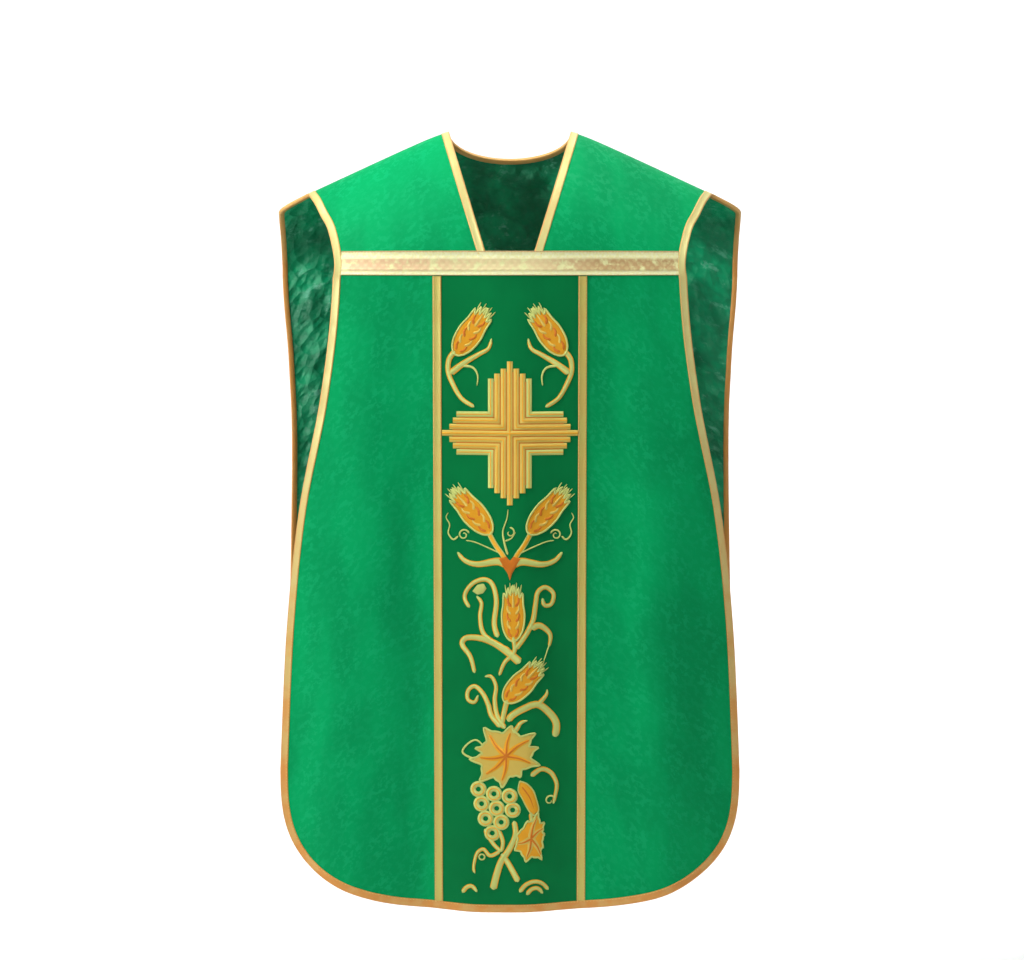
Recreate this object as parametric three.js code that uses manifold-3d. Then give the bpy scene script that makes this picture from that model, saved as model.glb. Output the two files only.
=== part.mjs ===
// A fiddleback chasuble, hanging as it does on a wearer's shoulders.
// Millimetres. X runs to the wearer's left, the front faces -Y and Z is up.
// The origin is on the shoulder ridge at the neck, midway between the shoulders.
// The garment is a yoke, with a front panel and a back panel that swing from it. Each is a
// stack of lining, interlining and outer cloth, with braid and embroidery sewn on top and a
// folded binding round its edges.
import * as THREE from 'three';
import { mergeVertices } from 'three/addons/utils/BufferGeometryUtils.js';
import Module from 'manifold-3d';

const wasm = await Module();
wasm.setup();

// Lengths, all measured down from the shoulder ridge at the neck.
const FRONT_LENGTH = 1114;
const BACK_LENGTH = 1150;
const BAND_TOP = 172;
const BAND_HEIGHT = 35.5;
const BACK_BEND = 205;
const BACK_NECK_DROP = 36;

// Widths, all from the middle of the garment outwards.
const CHEST_HALF_WIDTH = 249;
const FRONT_HEM_HALF_WIDTH = 332;
const RIDGE_HALF_WIDTH = 294.5;
const BACK_HALF_WIDTH = 338;
const BACK_WAIST_HALF_WIDTH = 327;
const NECK_HALF_WIDTH = 88;
const NECK_FRONT_HALF_WIDTH = 34;
const COLUMN_HALF_WIDTH = 102;

// Depths from the ridge to the chest and the shoulder blades, and how far the sides curve in.
const CHEST_DEPTH = 118;
const CHEST_CURVE = 22;
const BLADE_DEPTH = 112;
const BLADE_CURVE = 25;

// How the cloth falls.
const SHOULDER_SLOPE = 0.462;
const SHOULDER_ROUNDING = 25;
const ARCH_FULLNESS = 1.25;
const SHOULDER_SEAM = 20;
const FOLD_DEPTH = 7;
const FOLD_START = 500;
const FRONT_CORNER_HEIGHT = 197;
const BACK_CORNER_HEIGHT = 215;
const CORNER_SQUARENESS = 3;

// Cloth thicknesses, trim widths and clearances.
const CLOTH = 0.7;
const INTERLINING = 1.4;
const LINING = 0.6;
const TRIM = 0.8;
const EMBROIDERY = 1.0;
const GAP = 0.3;
const BEND_GAP = 3;
const BRAID_WIDTH = 12;
const BINDING_WIDTH = 11.5;
const TAB_WIDTH = 26;
const TAB_HEIGHT = 40;
const TAB_SPREAD = 150;
const TAB_DROP = 420;

// Each layer as [inner, outer] distance from the face of the outer cloth.
const FRONT_BEND = BAND_TOP + BAND_HEIGHT;
const CLOTH_LAYER = [-CLOTH, 0];
const INTERLINING_TOP = CLOTH_LAYER[0] - GAP;
const INTERLINING_LAYER = [INTERLINING_TOP - INTERLINING, INTERLINING_TOP];
const LINING_TOP = INTERLINING_LAYER[0] - GAP;
const LINING_LAYER = [LINING_TOP - LINING, LINING_TOP];
const TRIM_LAYER = [GAP, GAP + TRIM];
const EMBROIDERY_LAYER = [GAP, GAP + EMBROIDERY];
const CORE_LAYER = [LINING_LAYER[0] - GAP, GAP];
const BINDING_LAYER = [CORE_LAYER[0] - TRIM, GAP + TRIM];
const TAB_LAYER = [CORE_LAYER[0] - TRIM, CORE_LAYER[0]];
const CLOTH_INSET = TRIM + GAP;
const TRIM_INSET = BINDING_WIDTH + GAP;

// Reach of the cutting shapes beyond the garment, and how far the ones for the front and the
// back run into each other at the ridge.
const FAR = 2 * Math.max(FRONT_LENGTH, BACK_LENGTH);
const RIDGE_OVERLAP = 0.5;

// A mirrored curve stops this far short of the middle, in radians, and leaves a short flat.
const FLAT_END = 0.02;

const GREEN = { color: 0x00995a, roughness: 0.45, metalness: 0 };
const COLUMN_GREEN = { color: 0x00804a, roughness: 0.4, metalness: 0 };
const LINING_GREEN = { color: 0x005a38, roughness: 0.35, metalness: 0 };
const CANVAS = { color: 0xd9d2bd, roughness: 0.9, metalness: 0 };
const GOLD = { color: 0xd8b566, roughness: 0.4, metalness: 0.5 };
const PALE_GOLD = { color: 0xe6d79a, roughness: 0.4, metalness: 0.4 };
const THREAD = { color: 0xdc9f3a, roughness: 0.5, metalness: 0.2 };

// ---------------------------------------------------------------- the shape of the cloth

// Height of the shoulder ridge: level across the neck, then falling to the shoulder.
function ridgeHeight(x) {
  const outside = Math.abs(x) - NECK_HALF_WIDTH;
  const run = (Math.hypot(outside, SHOULDER_ROUNDING) + outside) / 2;
  return SHOULDER_SLOPE * (SHOULDER_ROUNDING / 2 - run);
}

function chestLine(x) {
  return -CHEST_DEPTH + CHEST_CURVE * (x / CHEST_HALF_WIDTH) ** 2;
}

function bladeLine(x) {
  return BLADE_DEPTH - BLADE_CURVE * (x / BACK_HALF_WIDTH) ** 2;
}

// How far a side of a panel swells forward between its column and its edge.
function fold(x, drop, halfWidth) {
  const across = THREE.MathUtils.clamp(
    (Math.abs(x) - COLUMN_HALF_WIDTH) / (halfWidth - COLUMN_HALF_WIDTH), 0, 1);
  return FOLD_DEPTH * THREE.MathUtils.smoothstep(drop, 0, FOLD_START) * Math.sin(Math.PI * across) ** 2;
}

// The arch over the shoulders. The angle runs from -90 at the chest band, over the ridge at 0,
// to 90 at the shoulder blades.
function yokePoint(x, degrees) {
  const angle = THREE.MathUtils.degToRad(degrees);
  const rise = Math.abs(Math.cos(angle)) ** ARCH_FULLNESS;
  const reach = Math.abs(Math.sin(angle)) ** ARCH_FULLNESS;
  const front = degrees < 0;
  const foot = front ? -FRONT_BEND : -BACK_BEND;
  const y = (front ? chestLine(x) : bladeLine(x)) * reach;
  return new THREE.Vector3(x, y, foot + (ridgeHeight(x) - foot) * rise);
}

function frontPoint(x, z) {
  const y = chestLine(x) - fold(x, -FRONT_BEND - z, FRONT_HEM_HALF_WIDTH);
  return new THREE.Vector3(x, y, z);
}

// The back is laid out as seen from behind, so its columns run towards -X.
function backPoint(across, z) {
  const y = bladeLine(across) + fold(across, -BACK_BEND - z, BACK_HALF_WIDTH);
  return new THREE.Vector3(-across, y, z);
}

function evenSteps(from, to, count) {
  return Array.from({ length: count + 1 }, (_, step) => from + (to - from) * step / count);
}

// Columns are closest where the shoulder turns down from the neck.
const HALF_COLUMNS = [0, 60, 102, 145, 205, 275].concat(
  Math.max(BACK_HALF_WIDTH, FRONT_HEM_HALF_WIDTH) + BINDING_WIDTH);
const COLUMNS = [...HALF_COLUMNS.slice(1).reverse().map((x) => -x), ...HALF_COLUMNS];
const YOKE_ROWS = [...evenSteps(-90, 0, 6), 6, 13, 26, 45, 67, 90];
const PANEL_ROWS = 7;

const yoke = { pointAt: yokePoint, rows: YOKE_ROWS, nudge: 1 };
const front = {
  pointAt: frontPoint,
  rows: evenSteps(-FRONT_LENGTH - BINDING_WIDTH, -FRONT_BEND - BEND_GAP, PANEL_ROWS),
  nudge: 0.5,
};
const back = {
  pointAt: backPoint,
  rows: evenSteps(-BACK_LENGTH - BINDING_WIDTH, -BACK_BEND - BEND_GAP, PANEL_ROWS),
  nudge: 0.5,
};

// Outward direction of a sheet, from its slopes along both ways of its grid.
function outward(sheet, column, row) {
  const lowest = Math.max(row - sheet.nudge, sheet.rows[0]);
  const highest = Math.min(row + sheet.nudge, sheet.rows.at(-1));
  const along = sheet.pointAt(column + 1, row).sub(sheet.pointAt(column - 1, row));
  const up = sheet.pointAt(column, highest).sub(sheet.pointAt(column, lowest));
  return along.cross(up).normalize();
}

// ---------------------------------------------------------------- solids

function solid(geometry) {
  geometry.deleteAttribute('normal');
  geometry.deleteAttribute('uv');
  const merged = mergeVertices(geometry);
  return new wasm.Manifold(new wasm.Mesh({
    numProp: 3,
    vertProperties: Float32Array.from(merged.attributes.position.array),
    triVerts: Uint32Array.from(merged.index.array),
  }));
}

// Gives the inner face of a box the same diagonals as its outer face, so that a layer lies
// parallel to the one below it.
function matchDiagonals(box) {
  const inner = box.groups[5];
  for (let at = inner.start; at < inner.start + inner.count; at += 6) {
    const [a, b, d, , c] = box.index.array.slice(at, at + 5);
    box.index.array.set([a, b, c, a, c, d], at);
  }
}

// A layer of a sheet between two distances from its face, over the whole grid.
function layer(sheet, [inner, outer]) {
  const across = COLUMNS.length - 1;
  const down = sheet.rows.length - 1;
  const box = new THREE.BoxGeometry(1, 1, 1, across, down, 1);
  matchDiagonals(box);
  const position = box.attributes.position;
  for (let i = 0; i < position.count; i += 1) {
    const column = COLUMNS[Math.round((position.getX(i) + 0.5) * across)];
    const row = sheet.rows[Math.round((position.getY(i) + 0.5) * down)];
    const lift = position.getZ(i) > 0 ? outer : inner;
    const point = sheet.pointAt(column, row).addScaledVector(outward(sheet, column, row), lift);
    position.setXYZ(i, point.x, point.y, point.z);
  }
  return solid(box);
}

// A cutting shape from an outline in X and Z, reaching right through the front or the back.
function facing(sheet, shape, stretch = 1) {
  const geometry = new THREE.ExtrudeGeometry(shape, { depth: FAR, bevelEnabled: false });
  geometry.scale(stretch, 1, 1);
  geometry.rotateX(Math.PI / 2);
  geometry.translate(0, RIDGE_OVERLAP, 0);
  if (sheet === back) geometry.rotateZ(Math.PI);
  return solid(geometry);
}

// A cutting shape from an outline in X and Y, reaching from below the yoke to above it.
function fromAbove(shape) {
  const geometry = new THREE.ExtrudeGeometry(shape, { depth: 2 * FAR, bevelEnabled: false });
  geometry.translate(0, 0, -FAR);
  return solid(geometry);
}

function polygon(points) {
  return new THREE.Shape(points.map(([x, y]) => new THREE.Vector2(x, y)));
}

function rectangle(left, right, bottom, top) {
  return polygon([[left, bottom], [right, bottom], [right, top], [left, top]]);
}

// Closes one side of an outline, given from top to bottom, with its mirror image.
function mirrored(side) {
  return polygon([...side.map(([x, y]) => [-x, y]), ...side.slice().reverse()]);
}

function union(solids) {
  return solids.reduce((whole, next) => whole.add(next));
}

// ---------------------------------------------------------------- outlines

const FRONT_SIDE = [
  [CHEST_HALF_WIDTH, 0],
  [CHEST_HALF_WIDTH, FRONT_BEND],
  [CHEST_HALF_WIDTH + 18, FRONT_BEND + 163],
  [FRONT_HEM_HALF_WIDTH - 31, FRONT_BEND + 334],
  [FRONT_HEM_HALF_WIDTH - 11, FRONT_BEND + 508],
  [FRONT_HEM_HALF_WIDTH, FRONT_LENGTH - FRONT_CORNER_HEIGHT],
];
const BACK_SIDE = [
  [BACK_HALF_WIDTH, 0],
  [BACK_HALF_WIDTH, BACK_BEND],
  [BACK_WAIST_HALF_WIDTH + 3, BACK_BEND + 130],
  [BACK_WAIST_HALF_WIDTH, BACK_BEND + 290],
  [BACK_HALF_WIDTH, BACK_LENGTH - BACK_CORNER_HEIGHT],
];

// Half a panel from the top down to the middle of its hem, drawn in by an inset.
function panelSide(stations, length, cornerHeight, inset) {
  const curve = new THREE.SplineCurve(stations.map(([x, drop]) => new THREE.Vector2(x, -drop)));
  const side = curve.getPoints(8).map((point) => [point.x - inset, point.y]);
  const halfWidth = stations.at(-1)[0] - inset;
  for (const turn of evenSteps(0, Math.PI / 2 - FLAT_END, 6).slice(1)) {
    const power = 2 / CORNER_SQUARENESS;
    side.push([
      halfWidth * Math.cos(turn) ** power,
      cornerHeight - length - (cornerHeight - inset) * Math.sin(turn) ** power,
    ]);
  }
  return side;
}

function panelOutline(sheet, inset) {
  const side = sheet === front
    ? panelSide(FRONT_SIDE, FRONT_LENGTH, FRONT_CORNER_HEIGHT, inset)
    : panelSide(BACK_SIDE, BACK_LENGTH, BACK_CORNER_HEIGHT, inset);
  return facing(sheet, mirrored(side));
}

// Half-width of the yoke at each angle of its arch: cut away to the armhole in front, and
// spreading to the wide back just behind the ridge.
const YOKE_SIDE = new THREE.SplineCurve([
  [-90, CHEST_HALF_WIDTH],
  [-76, CHEST_HALF_WIDTH - 1.7],
  [-56, CHEST_HALF_WIDTH + 8],
  [-41, CHEST_HALF_WIDTH + 22],
  [-18, RIDGE_HALF_WIDTH - 8],
  [0, RIDGE_HALF_WIDTH],
  [5, RIDGE_HALF_WIDTH + 20],
  [12, BACK_HALF_WIDTH - 6],
  [26, BACK_HALF_WIDTH - 1],
  [90, BACK_HALF_WIDTH],
].map(([degrees, x]) => new THREE.Vector2(degrees, x)));

function armholeOutline(inset) {
  const side = [[CHEST_HALF_WIDTH - inset, -FAR]];
  for (const { x: degrees, y: halfWidth } of YOKE_SIDE.getPoints(18)) {
    side.push([halfWidth - inset, yokePoint(halfWidth, degrees).y]);
  }
  side.push([BACK_HALF_WIDTH - inset, FAR]);
  return fromAbove(mirrored(side));
}

// The neck opening: a tapering front that ends at the chest band, and a curved back.
function neckOpening(grow, bandClearance = 0) {
  const bottom = bandClearance - BAND_TOP;
  const frontHalf = mirrored([
    [NECK_HALF_WIDTH + grow, FAR],
    [NECK_HALF_WIDTH + grow, 0],
    [NECK_FRONT_HALF_WIDTH + grow, bottom],
  ]);
  const backCurve = evenSteps(0, Math.PI / 2 - FLAT_END, 6).map((turn) => [
    (NECK_HALF_WIDTH + grow) * Math.cos(turn),
    -(BACK_NECK_DROP + grow) * Math.sin(turn),
  ]);
  const backHalf = mirrored([[NECK_HALF_WIDTH + grow, FAR], ...backCurve]);
  return facing(front, frontHalf).add(facing(back, backHalf));
}

// ---------------------------------------------------------------- the pieces

const chasuble = new THREE.Group();

function add(name, shape, finish) {
  const mesh = shape.getMesh();
  const geometry = new THREE.BufferGeometry();
  const points = new Float32Array(mesh.numVert * 3);
  for (let i = 0; i < mesh.numVert; i += 1) {
    points.set(mesh.vertProperties.subarray(i * mesh.numProp, i * mesh.numProp + 3), i * 3);
  }
  geometry.setAttribute('position', new THREE.BufferAttribute(points, 3));
  geometry.setIndex(new THREE.BufferAttribute(mesh.triVerts.slice(), 1));
  const node = new THREE.Mesh(geometry, new THREE.MeshStandardMaterial(finish));
  node.name = name;
  chasuble.add(node);
}

// Upright strips of a panel, in X, over its whole height.
const SEAM = COLUMN_HALF_WIDTH;
const STRIPS = {
  left: rectangle(SEAM + GAP / 2, FAR, -FAR, FAR),
  right: rectangle(-FAR, -SEAM - GAP / 2, -FAR, FAR),
  column: rectangle(-SEAM + GAP / 2, SEAM - GAP / 2, -FAR, FAR),
  leftBraid: rectangle(SEAM - BRAID_WIDTH / 2, SEAM + BRAID_WIDTH / 2, -FAR, FAR),
  rightBraid: rectangle(-SEAM - BRAID_WIDTH / 2, BRAID_WIDTH / 2 - SEAM, -FAR, FAR),
};

// Strips are named for the wearer's sides, which change places when seen from behind.
function strip(sheet, name) {
  const swap = { left: 'right', right: 'left', leftBraid: 'rightBraid', rightBraid: 'leftBraid' };
  return facing(sheet, STRIPS[sheet === back ? swap[name] ?? name : name]);
}

// A folded binding: a thick rim with the space of the stacked layers taken out of it.
function binding(sheet, rim, core) {
  return layer(sheet, BINDING_LAYER).intersect(rim).subtract(layer(sheet, CORE_LAYER).intersect(core));
}

function addPanel(sheet, side) {
  const edge = panelOutline(sheet, CLOTH_INSET);
  const trimmed = panelOutline(sheet, TRIM_INSET);
  const cloth = layer(sheet, CLOTH_LAYER).intersect(edge);
  const trim = layer(sheet, TRIM_LAYER).intersect(trimmed);
  add(`${side}_left_cloth`, cloth.intersect(strip(sheet, 'left')), GREEN);
  add(`${side}_right_cloth`, cloth.intersect(strip(sheet, 'right')), GREEN);
  add(`${side}_column_cloth`, cloth.intersect(strip(sheet, 'column')), COLUMN_GREEN);
  add(`${side}_interlining`, layer(sheet, INTERLINING_LAYER).intersect(edge), CANVAS);
  add(`${side}_lining`, layer(sheet, LINING_LAYER).intersect(edge), LINING_GREEN);
  add(`${side}_left_braid`, trim.intersect(strip(sheet, 'leftBraid')), GOLD);
  add(`${side}_right_braid`, trim.intersect(strip(sheet, 'rightBraid')), GOLD);
  const rim = panelOutline(sheet, 0).subtract(panelOutline(sheet, BINDING_WIDTH));
  add(`${side}_edge_binding`, binding(sheet, rim, panelOutline(sheet, TRIM)), GOLD);
}

function addYoke() {
  const open = neckOpening(CLOTH_INSET);
  const arms = armholeOutline(CLOTH_INSET);
  const cut = (thickness) => layer(yoke, thickness).intersect(arms).subtract(open);
  const cloth = cut(CLOTH_LAYER);
  const seam = GAP / 2;
  const shoulders = {
    left: rectangle(seam, FAR, -FAR, SHOULDER_SEAM - seam),
    right: rectangle(-FAR, -seam, -FAR, SHOULDER_SEAM - seam),
  };
  for (const [side, half] of Object.entries(shoulders)) {
    add(`${side}_shoulder_cloth`, cloth.intersect(fromAbove(half)), GREEN);
  }
  const behind = fromAbove(rectangle(-FAR, FAR, SHOULDER_SEAM + seam, FAR));
  const upperBack = cloth.intersect(behind);
  add('upper_back_left_cloth', upperBack.intersect(strip(back, 'left')), GREEN);
  add('upper_back_right_cloth', upperBack.intersect(strip(back, 'right')), GREEN);
  add('upper_back_column_cloth', upperBack.intersect(strip(back, 'column')), COLUMN_GREEN);
  add('yoke_interlining', cut(INTERLINING_LAYER), CANVAS);
  add('yoke_lining', cut(LINING_LAYER), LINING_GREEN);

  const trim = layer(yoke, TRIM_LAYER).intersect(armholeOutline(TRIM_INSET)).subtract(neckOpening(TRIM_INSET));
  const backTrim = trim.intersect(behind);
  add('upper_back_left_braid', backTrim.intersect(strip(back, 'leftBraid')), GOLD);
  add('upper_back_right_braid', backTrim.intersect(strip(back, 'rightBraid')), GOLD);

  const armRim = armholeOutline(0).subtract(armholeOutline(BINDING_WIDTH));
  const armBinding = binding(yoke, armRim, armholeOutline(TRIM));
  add('left_armhole_binding', armBinding.intersect(fromAbove(rectangle(0, FAR, -FAR, FAR))), GOLD);
  add('right_armhole_binding', armBinding.intersect(fromAbove(rectangle(-FAR, 0, -FAR, FAR))), GOLD);

  const neckRim = neckOpening(BINDING_WIDTH, GAP).subtract(neckOpening(0));
  const neckCore = armholeOutline(0).subtract(neckOpening(TRIM));
  add('neck_binding', binding(yoke, neckRim, neckCore), GOLD);

  const bandArea = facing(front, rectangle(-FAR, FAR, -FAR, -BAND_TOP));
  const band = layer(yoke, TRIM_LAYER).intersect(armholeOutline(TRIM_INSET)).intersect(bandArea);
  add('chest_band', band, PALE_GOLD);
}

function addTabs() {
  const tabs = layer(back, TAB_LAYER);
  for (const [side, middle] of [['left', -TAB_SPREAD], ['right', TAB_SPREAD]]) {
    const patch = rectangle(
      middle - TAB_WIDTH / 2, middle + TAB_WIDTH / 2, -TAB_DROP - TAB_HEIGHT / 2, -TAB_DROP + TAB_HEIGHT / 2);
    add(`${side}_tie_tab`, tabs.intersect(facing(back, patch)), LINING_GREEN);
  }
}

// ---------------------------------------------------------------- embroidery
// Motifs are laid out in X and Z as they are seen on the panel that carries them. They are drawn
// for a column that is DRAWN_REACH to each side between its braids, and stretched across to fit.

const DRAWN_REACH = 96;
const COLUMN_REACH = COLUMN_HALF_WIDTH - BRAID_WIDTH / 2;

const toRadians = THREE.MathUtils.degToRad;

// An ear of corn: a pointed oval with a row of grains down each side.
function ear(x, z, length, width, lean) {
  const outline = [];
  for (const t of [...evenSteps(0.03, 0.97, 8), ...evenSteps(0.97, 0.03, 8)]) {
    const side = outline.length < 9 ? 1 : -1;
    const grain = 0.88 + 0.12 * Math.cos(8 * Math.PI * t);
    outline.push([side * width / 2 * Math.sin(Math.PI * t) ** 0.7 * grain, (t - 0.5) * length]);
  }
  const turn = toRadians(-lean);
  return polygon(outline.map(([across, along]) => [
    x + across * Math.cos(turn) - along * Math.sin(turn),
    z + across * Math.sin(turn) + along * Math.cos(turn),
  ]));
}

// A stem, leaf or tendril: a smooth stroke through its points that narrows to its end.
function stroke(points, width, endWidth = width) {
  const curve = new THREE.SplineCurve(points.map(([x, z]) => new THREE.Vector2(x, z)));
  const steps = 2 * (points.length - 1);
  const sides = [[], []];
  for (const t of evenSteps(0, 1, steps)) {
    const middle = curve.getPoint(t);
    const tangent = curve.getTangent(t);
    const half = THREE.MathUtils.lerp(width, endWidth, t) / 2;
    sides[0].push([middle.x - tangent.y * half, middle.y + tangent.x * half]);
    sides[1].push([middle.x + tangent.y * half, middle.y - tangent.x * half]);
  }
  return polygon([...sides[0], ...sides[1].reverse()]);
}

// A leaf of pointed lobes round its middle.
function lobedLeaf(x, z, radius, lobes) {
  return polygon(evenSteps(0, 2 * Math.PI, 4 * lobes).slice(1).map((turn) => {
    const reach = radius * (0.6 + 0.4 * Math.abs(Math.cos(lobes * turn / 2)));
    return [x + reach * Math.sin(turn), z + reach * Math.cos(turn)];
  }));
}

function disc(x, z, radius) {
  return polygon(evenSteps(0, 2 * Math.PI, 10).slice(1).map((turn) => [
    x + radius * Math.cos(turn), z + radius * Math.sin(turn),
  ]));
}

// A cross whose arms end in steps: a middle bar with three shorter bars on each side of it.
const CROSS_MIDDLE = 426;
const CROSS_PITCH = 8.9;
const UPRIGHT_BARS = [101, 91, 84, 77];
const LEVEL_BARS = [95, 85, 80, 75];
function steppedArm(bars, upright) {
  const side = bars.flatMap((reach, i) => [
    [(i - 0.5) * CROSS_PITCH, reach], [(i + 0.5) * CROSS_PITCH, reach],
  ]);
  side[0] = [0.1, bars[0]];
  const half = [...side, ...side.map(([across, reach]) => [across, -reach]).reverse()];
  const outline = [...half, ...half.map(([across, reach]) => [-across, reach]).reverse()];
  return polygon(outline.map(([across, reach]) => (
    upright ? [across, reach - CROSS_MIDDLE] : [reach, across - CROSS_MIDDLE])));
}

const GRAPE_RADIUS = 11;
const GRAPE_PITCH = 19;
const GRAPE_ROWS = [[-43, 3], [-38, 3], [-31, 2], [-22, 1]];
const grapes = GRAPE_ROWS.flatMap(([start, count], row) => (
  evenSteps(0, count, count).slice(0, -1).map((i) => (
    disc(start + i * GRAPE_PITCH, -937 - row * (GRAPE_PITCH - 1), GRAPE_RADIUS)))));

const mirrorPoints = (points) => points.map(([x, z]) => [-x, z]);
const UPPER_STEM = [[-78, -308], [-86, -345], [-74, -374], [-50, -389]];
const UPPER_LEAF = [[-68, -380], [-54, -350], [-46, -322]];
const SPRAY_STEM = [[-26, -562], [-10, -590], [0, -635]];
const SPRAY_LEAF = [[0, -614], [-32, -622], [-60, -612], [-76, -594]];

const MOTIFS = {
  cross: [steppedArm(UPRIGHT_BARS, true), steppedArm(LEVEL_BARS, false)],
  upper_left_ear: [
    ear(58, -284, 68, 29, -37),
    stroke(mirrorPoints(UPPER_STEM), 6, 4),
    stroke(mirrorPoints(UPPER_LEAF), 7, 2),
  ],
  upper_right_ear: [ear(-58, -284, 68, 29, 37), stroke(UPPER_STEM, 6, 4), stroke(UPPER_LEAF, 7, 2)],
  corn_spray: [
    ear(-52, -539, 76, 30, -43),
    ear(52, -539, 76, 30, 43),
    stroke(SPRAY_STEM, 6, 6),
    stroke(mirrorPoints(SPRAY_STEM), 6, 6),
    stroke(SPRAY_LEAF, 10, 3),
    stroke(mirrorPoints(SPRAY_LEAF), 10, 3),
  ],
  scroll_ear: [
    ear(5, -683, 71, 30, 0),
    stroke([[5, -712], [4, -748]], 6),
    stroke([[5, -722], [-25, -722], [-55, -700], [-66, -668], [-50, -655], [-40, -668]], 7, 3),
    stroke([[4, -724], [28, -714], [48, -690], [52, -664], [40, -655], [33, -668]], 6, 3),
    stroke([[11, -745], [-30, -732], [-64, -724], [-62, -745], [-53, -766]], 9, 3),
  ],
  leaning_ear: [
    ear(17, -781, 70, 29, 43),
    stroke([[-6, -804], [-4, -828]], 6),
    stroke([[-4, -812], [-30, -822], [-62, -812], [-72, -790], [-56, -776], [-44, -788]], 7, 3),
    stroke([[-4, -824], [39, -810], [63, -855]], 10, 3),
  ],
  vine_leaf: [lobedLeaf(-6, -886, 38, 5)],
  grapes: [
    ...grapes,
    stroke([[-22, -995], [-14, -1025], [-24, -1072]], 6, 4),
    stroke([[-16, -1030], [-4, -1046], [9, -1066]], 5, 3),
  ],
  small_leaf: [
    lobedLeaf(32, -1012, 24, 3),
    stroke([[32, -996], [25, -965], [32, -938], [46, -925], [60, -936]], 9, 4),
  ],
};

function addEmbroidery(sheet, side) {
  const thread = layer(sheet, EMBROIDERY_LAYER);
  for (const [name, shapes] of Object.entries(MOTIFS)) {
    const outline = union(shapes.map((shape) => facing(sheet, shape, COLUMN_REACH / DRAWN_REACH)));
    const motif = thread.intersect(outline).intersect(panelOutline(sheet, TRIM_INSET));
    add(`${side}_${name}`, motif, THREAD);
  }
}

addYoke();
addPanel(front, 'front');
addEmbroidery(front, 'front');
addPanel(back, 'back');
addEmbroidery(back, 'back');
addTabs();

export default chasuble;
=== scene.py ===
"""A fiddleback chasuble in figured damask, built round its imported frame.

Metres. X runs to the wearer's left, the front faces -Y and Z is up. Every place on the cloth is
given by x and by its path: the path is 0 on the shoulder ridge, -90 at the bend under the chest
band and 90 at the bend over the shoulder blades, and runs on down both panels to their hems.
"""

import functools
import math
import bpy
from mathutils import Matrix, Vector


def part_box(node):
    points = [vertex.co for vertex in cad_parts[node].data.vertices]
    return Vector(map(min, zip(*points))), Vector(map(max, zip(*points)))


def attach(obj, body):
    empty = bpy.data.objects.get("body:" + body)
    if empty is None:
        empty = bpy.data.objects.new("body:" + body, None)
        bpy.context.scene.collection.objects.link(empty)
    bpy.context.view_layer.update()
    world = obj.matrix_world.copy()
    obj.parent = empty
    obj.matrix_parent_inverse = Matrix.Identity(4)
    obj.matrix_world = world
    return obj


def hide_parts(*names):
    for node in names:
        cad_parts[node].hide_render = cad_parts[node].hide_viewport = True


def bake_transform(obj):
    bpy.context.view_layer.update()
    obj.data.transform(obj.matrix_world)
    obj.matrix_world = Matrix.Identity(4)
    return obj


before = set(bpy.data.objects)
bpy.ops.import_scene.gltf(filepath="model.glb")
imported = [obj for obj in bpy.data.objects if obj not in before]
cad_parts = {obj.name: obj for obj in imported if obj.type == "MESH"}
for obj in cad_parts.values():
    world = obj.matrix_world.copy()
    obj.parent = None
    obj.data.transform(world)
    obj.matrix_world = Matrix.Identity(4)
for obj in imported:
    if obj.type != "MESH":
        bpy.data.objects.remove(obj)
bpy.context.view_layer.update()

from types import SimpleNamespace

import bpy
import numpy as np
from bpy.props import FloatProperty, FloatVectorProperty, PointerProperty
from mathutils import Vector
from mathutils.geometry import delaunay_2d_cdt

bl_info = {
    "name": "Chasuble",
    "version": (1, 0, 0),
    "blender": (4, 5, 0),
    "location": "3D View > Sidebar > Chasuble",
    "description": "Makes a lined and embroidered fiddleback chasuble, piece by piece",
    "category": "Object",
}

MM = 0.001


def box_side(node, corner, axis):
    """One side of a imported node's box: corner 0 is its lowest and 1 its highest."""
    return round(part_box(node)[corner][axis], 4)


# ------------------------------------------------------------------ sizes of the make-up

# Trims and clearances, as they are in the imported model.
BINDING_WIDTH = 11.5 * MM
BRAID_WIDTH = 12 * MM
GAP = 0.3 * MM

# The outer and inner faces of the layers, as distances outside the face of the cloth.
CLOTH_LAYER = (0.0, -0.7 * MM)
LINING_LAYER = (-2.7 * MM, -3.3 * MM)

# How the shoulders fall and how the panels are cut.
SHOULDER_SLOPE = 0.462
SHOULDER_ROUNDING = 25 * MM
ARCH_FULLNESS = 1.25
RIDGE_HALF_WIDTH = 294.5 * MM
CHEST_CURVE = 22 * MM
BLADE_CURVE = 25 * MM
NECK_FRONT_HALF_WIDTH = 34 * MM
BACK_NECK_DROP = 36 * MM
BACK_WAIST_HALF_WIDTH = 327 * MM
FOLD_DEPTH = 7 * MM
FOLD_START = 500 * MM
FRONT_CORNER = 197 * MM
BACK_CORNER = 215 * MM
CORNER_SQUARENESS = 3

# The path: its place at both bends, the metres of cloth to one unit below them, and the seams.
BEND_PATH = 90
PATH_STEP = 4 * MM
SHOULDER_SEAM_PATH = 14.6
FRONT_JOINT_PATH = -86

# The flat pattern: its points' spacing, the cloth's edge inside the rims, and the lap at the band.
CUT_SPACING = 8 * MM
CLOTH_INSET = 1.2 * MM
NECK_LAP = 2 * MM

# The table of lengths laid over the shoulder.
LAID_COLUMNS = 81
LAID_ROWS = 61

# No bound to a cut of the pattern.
FAR = math.inf

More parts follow.
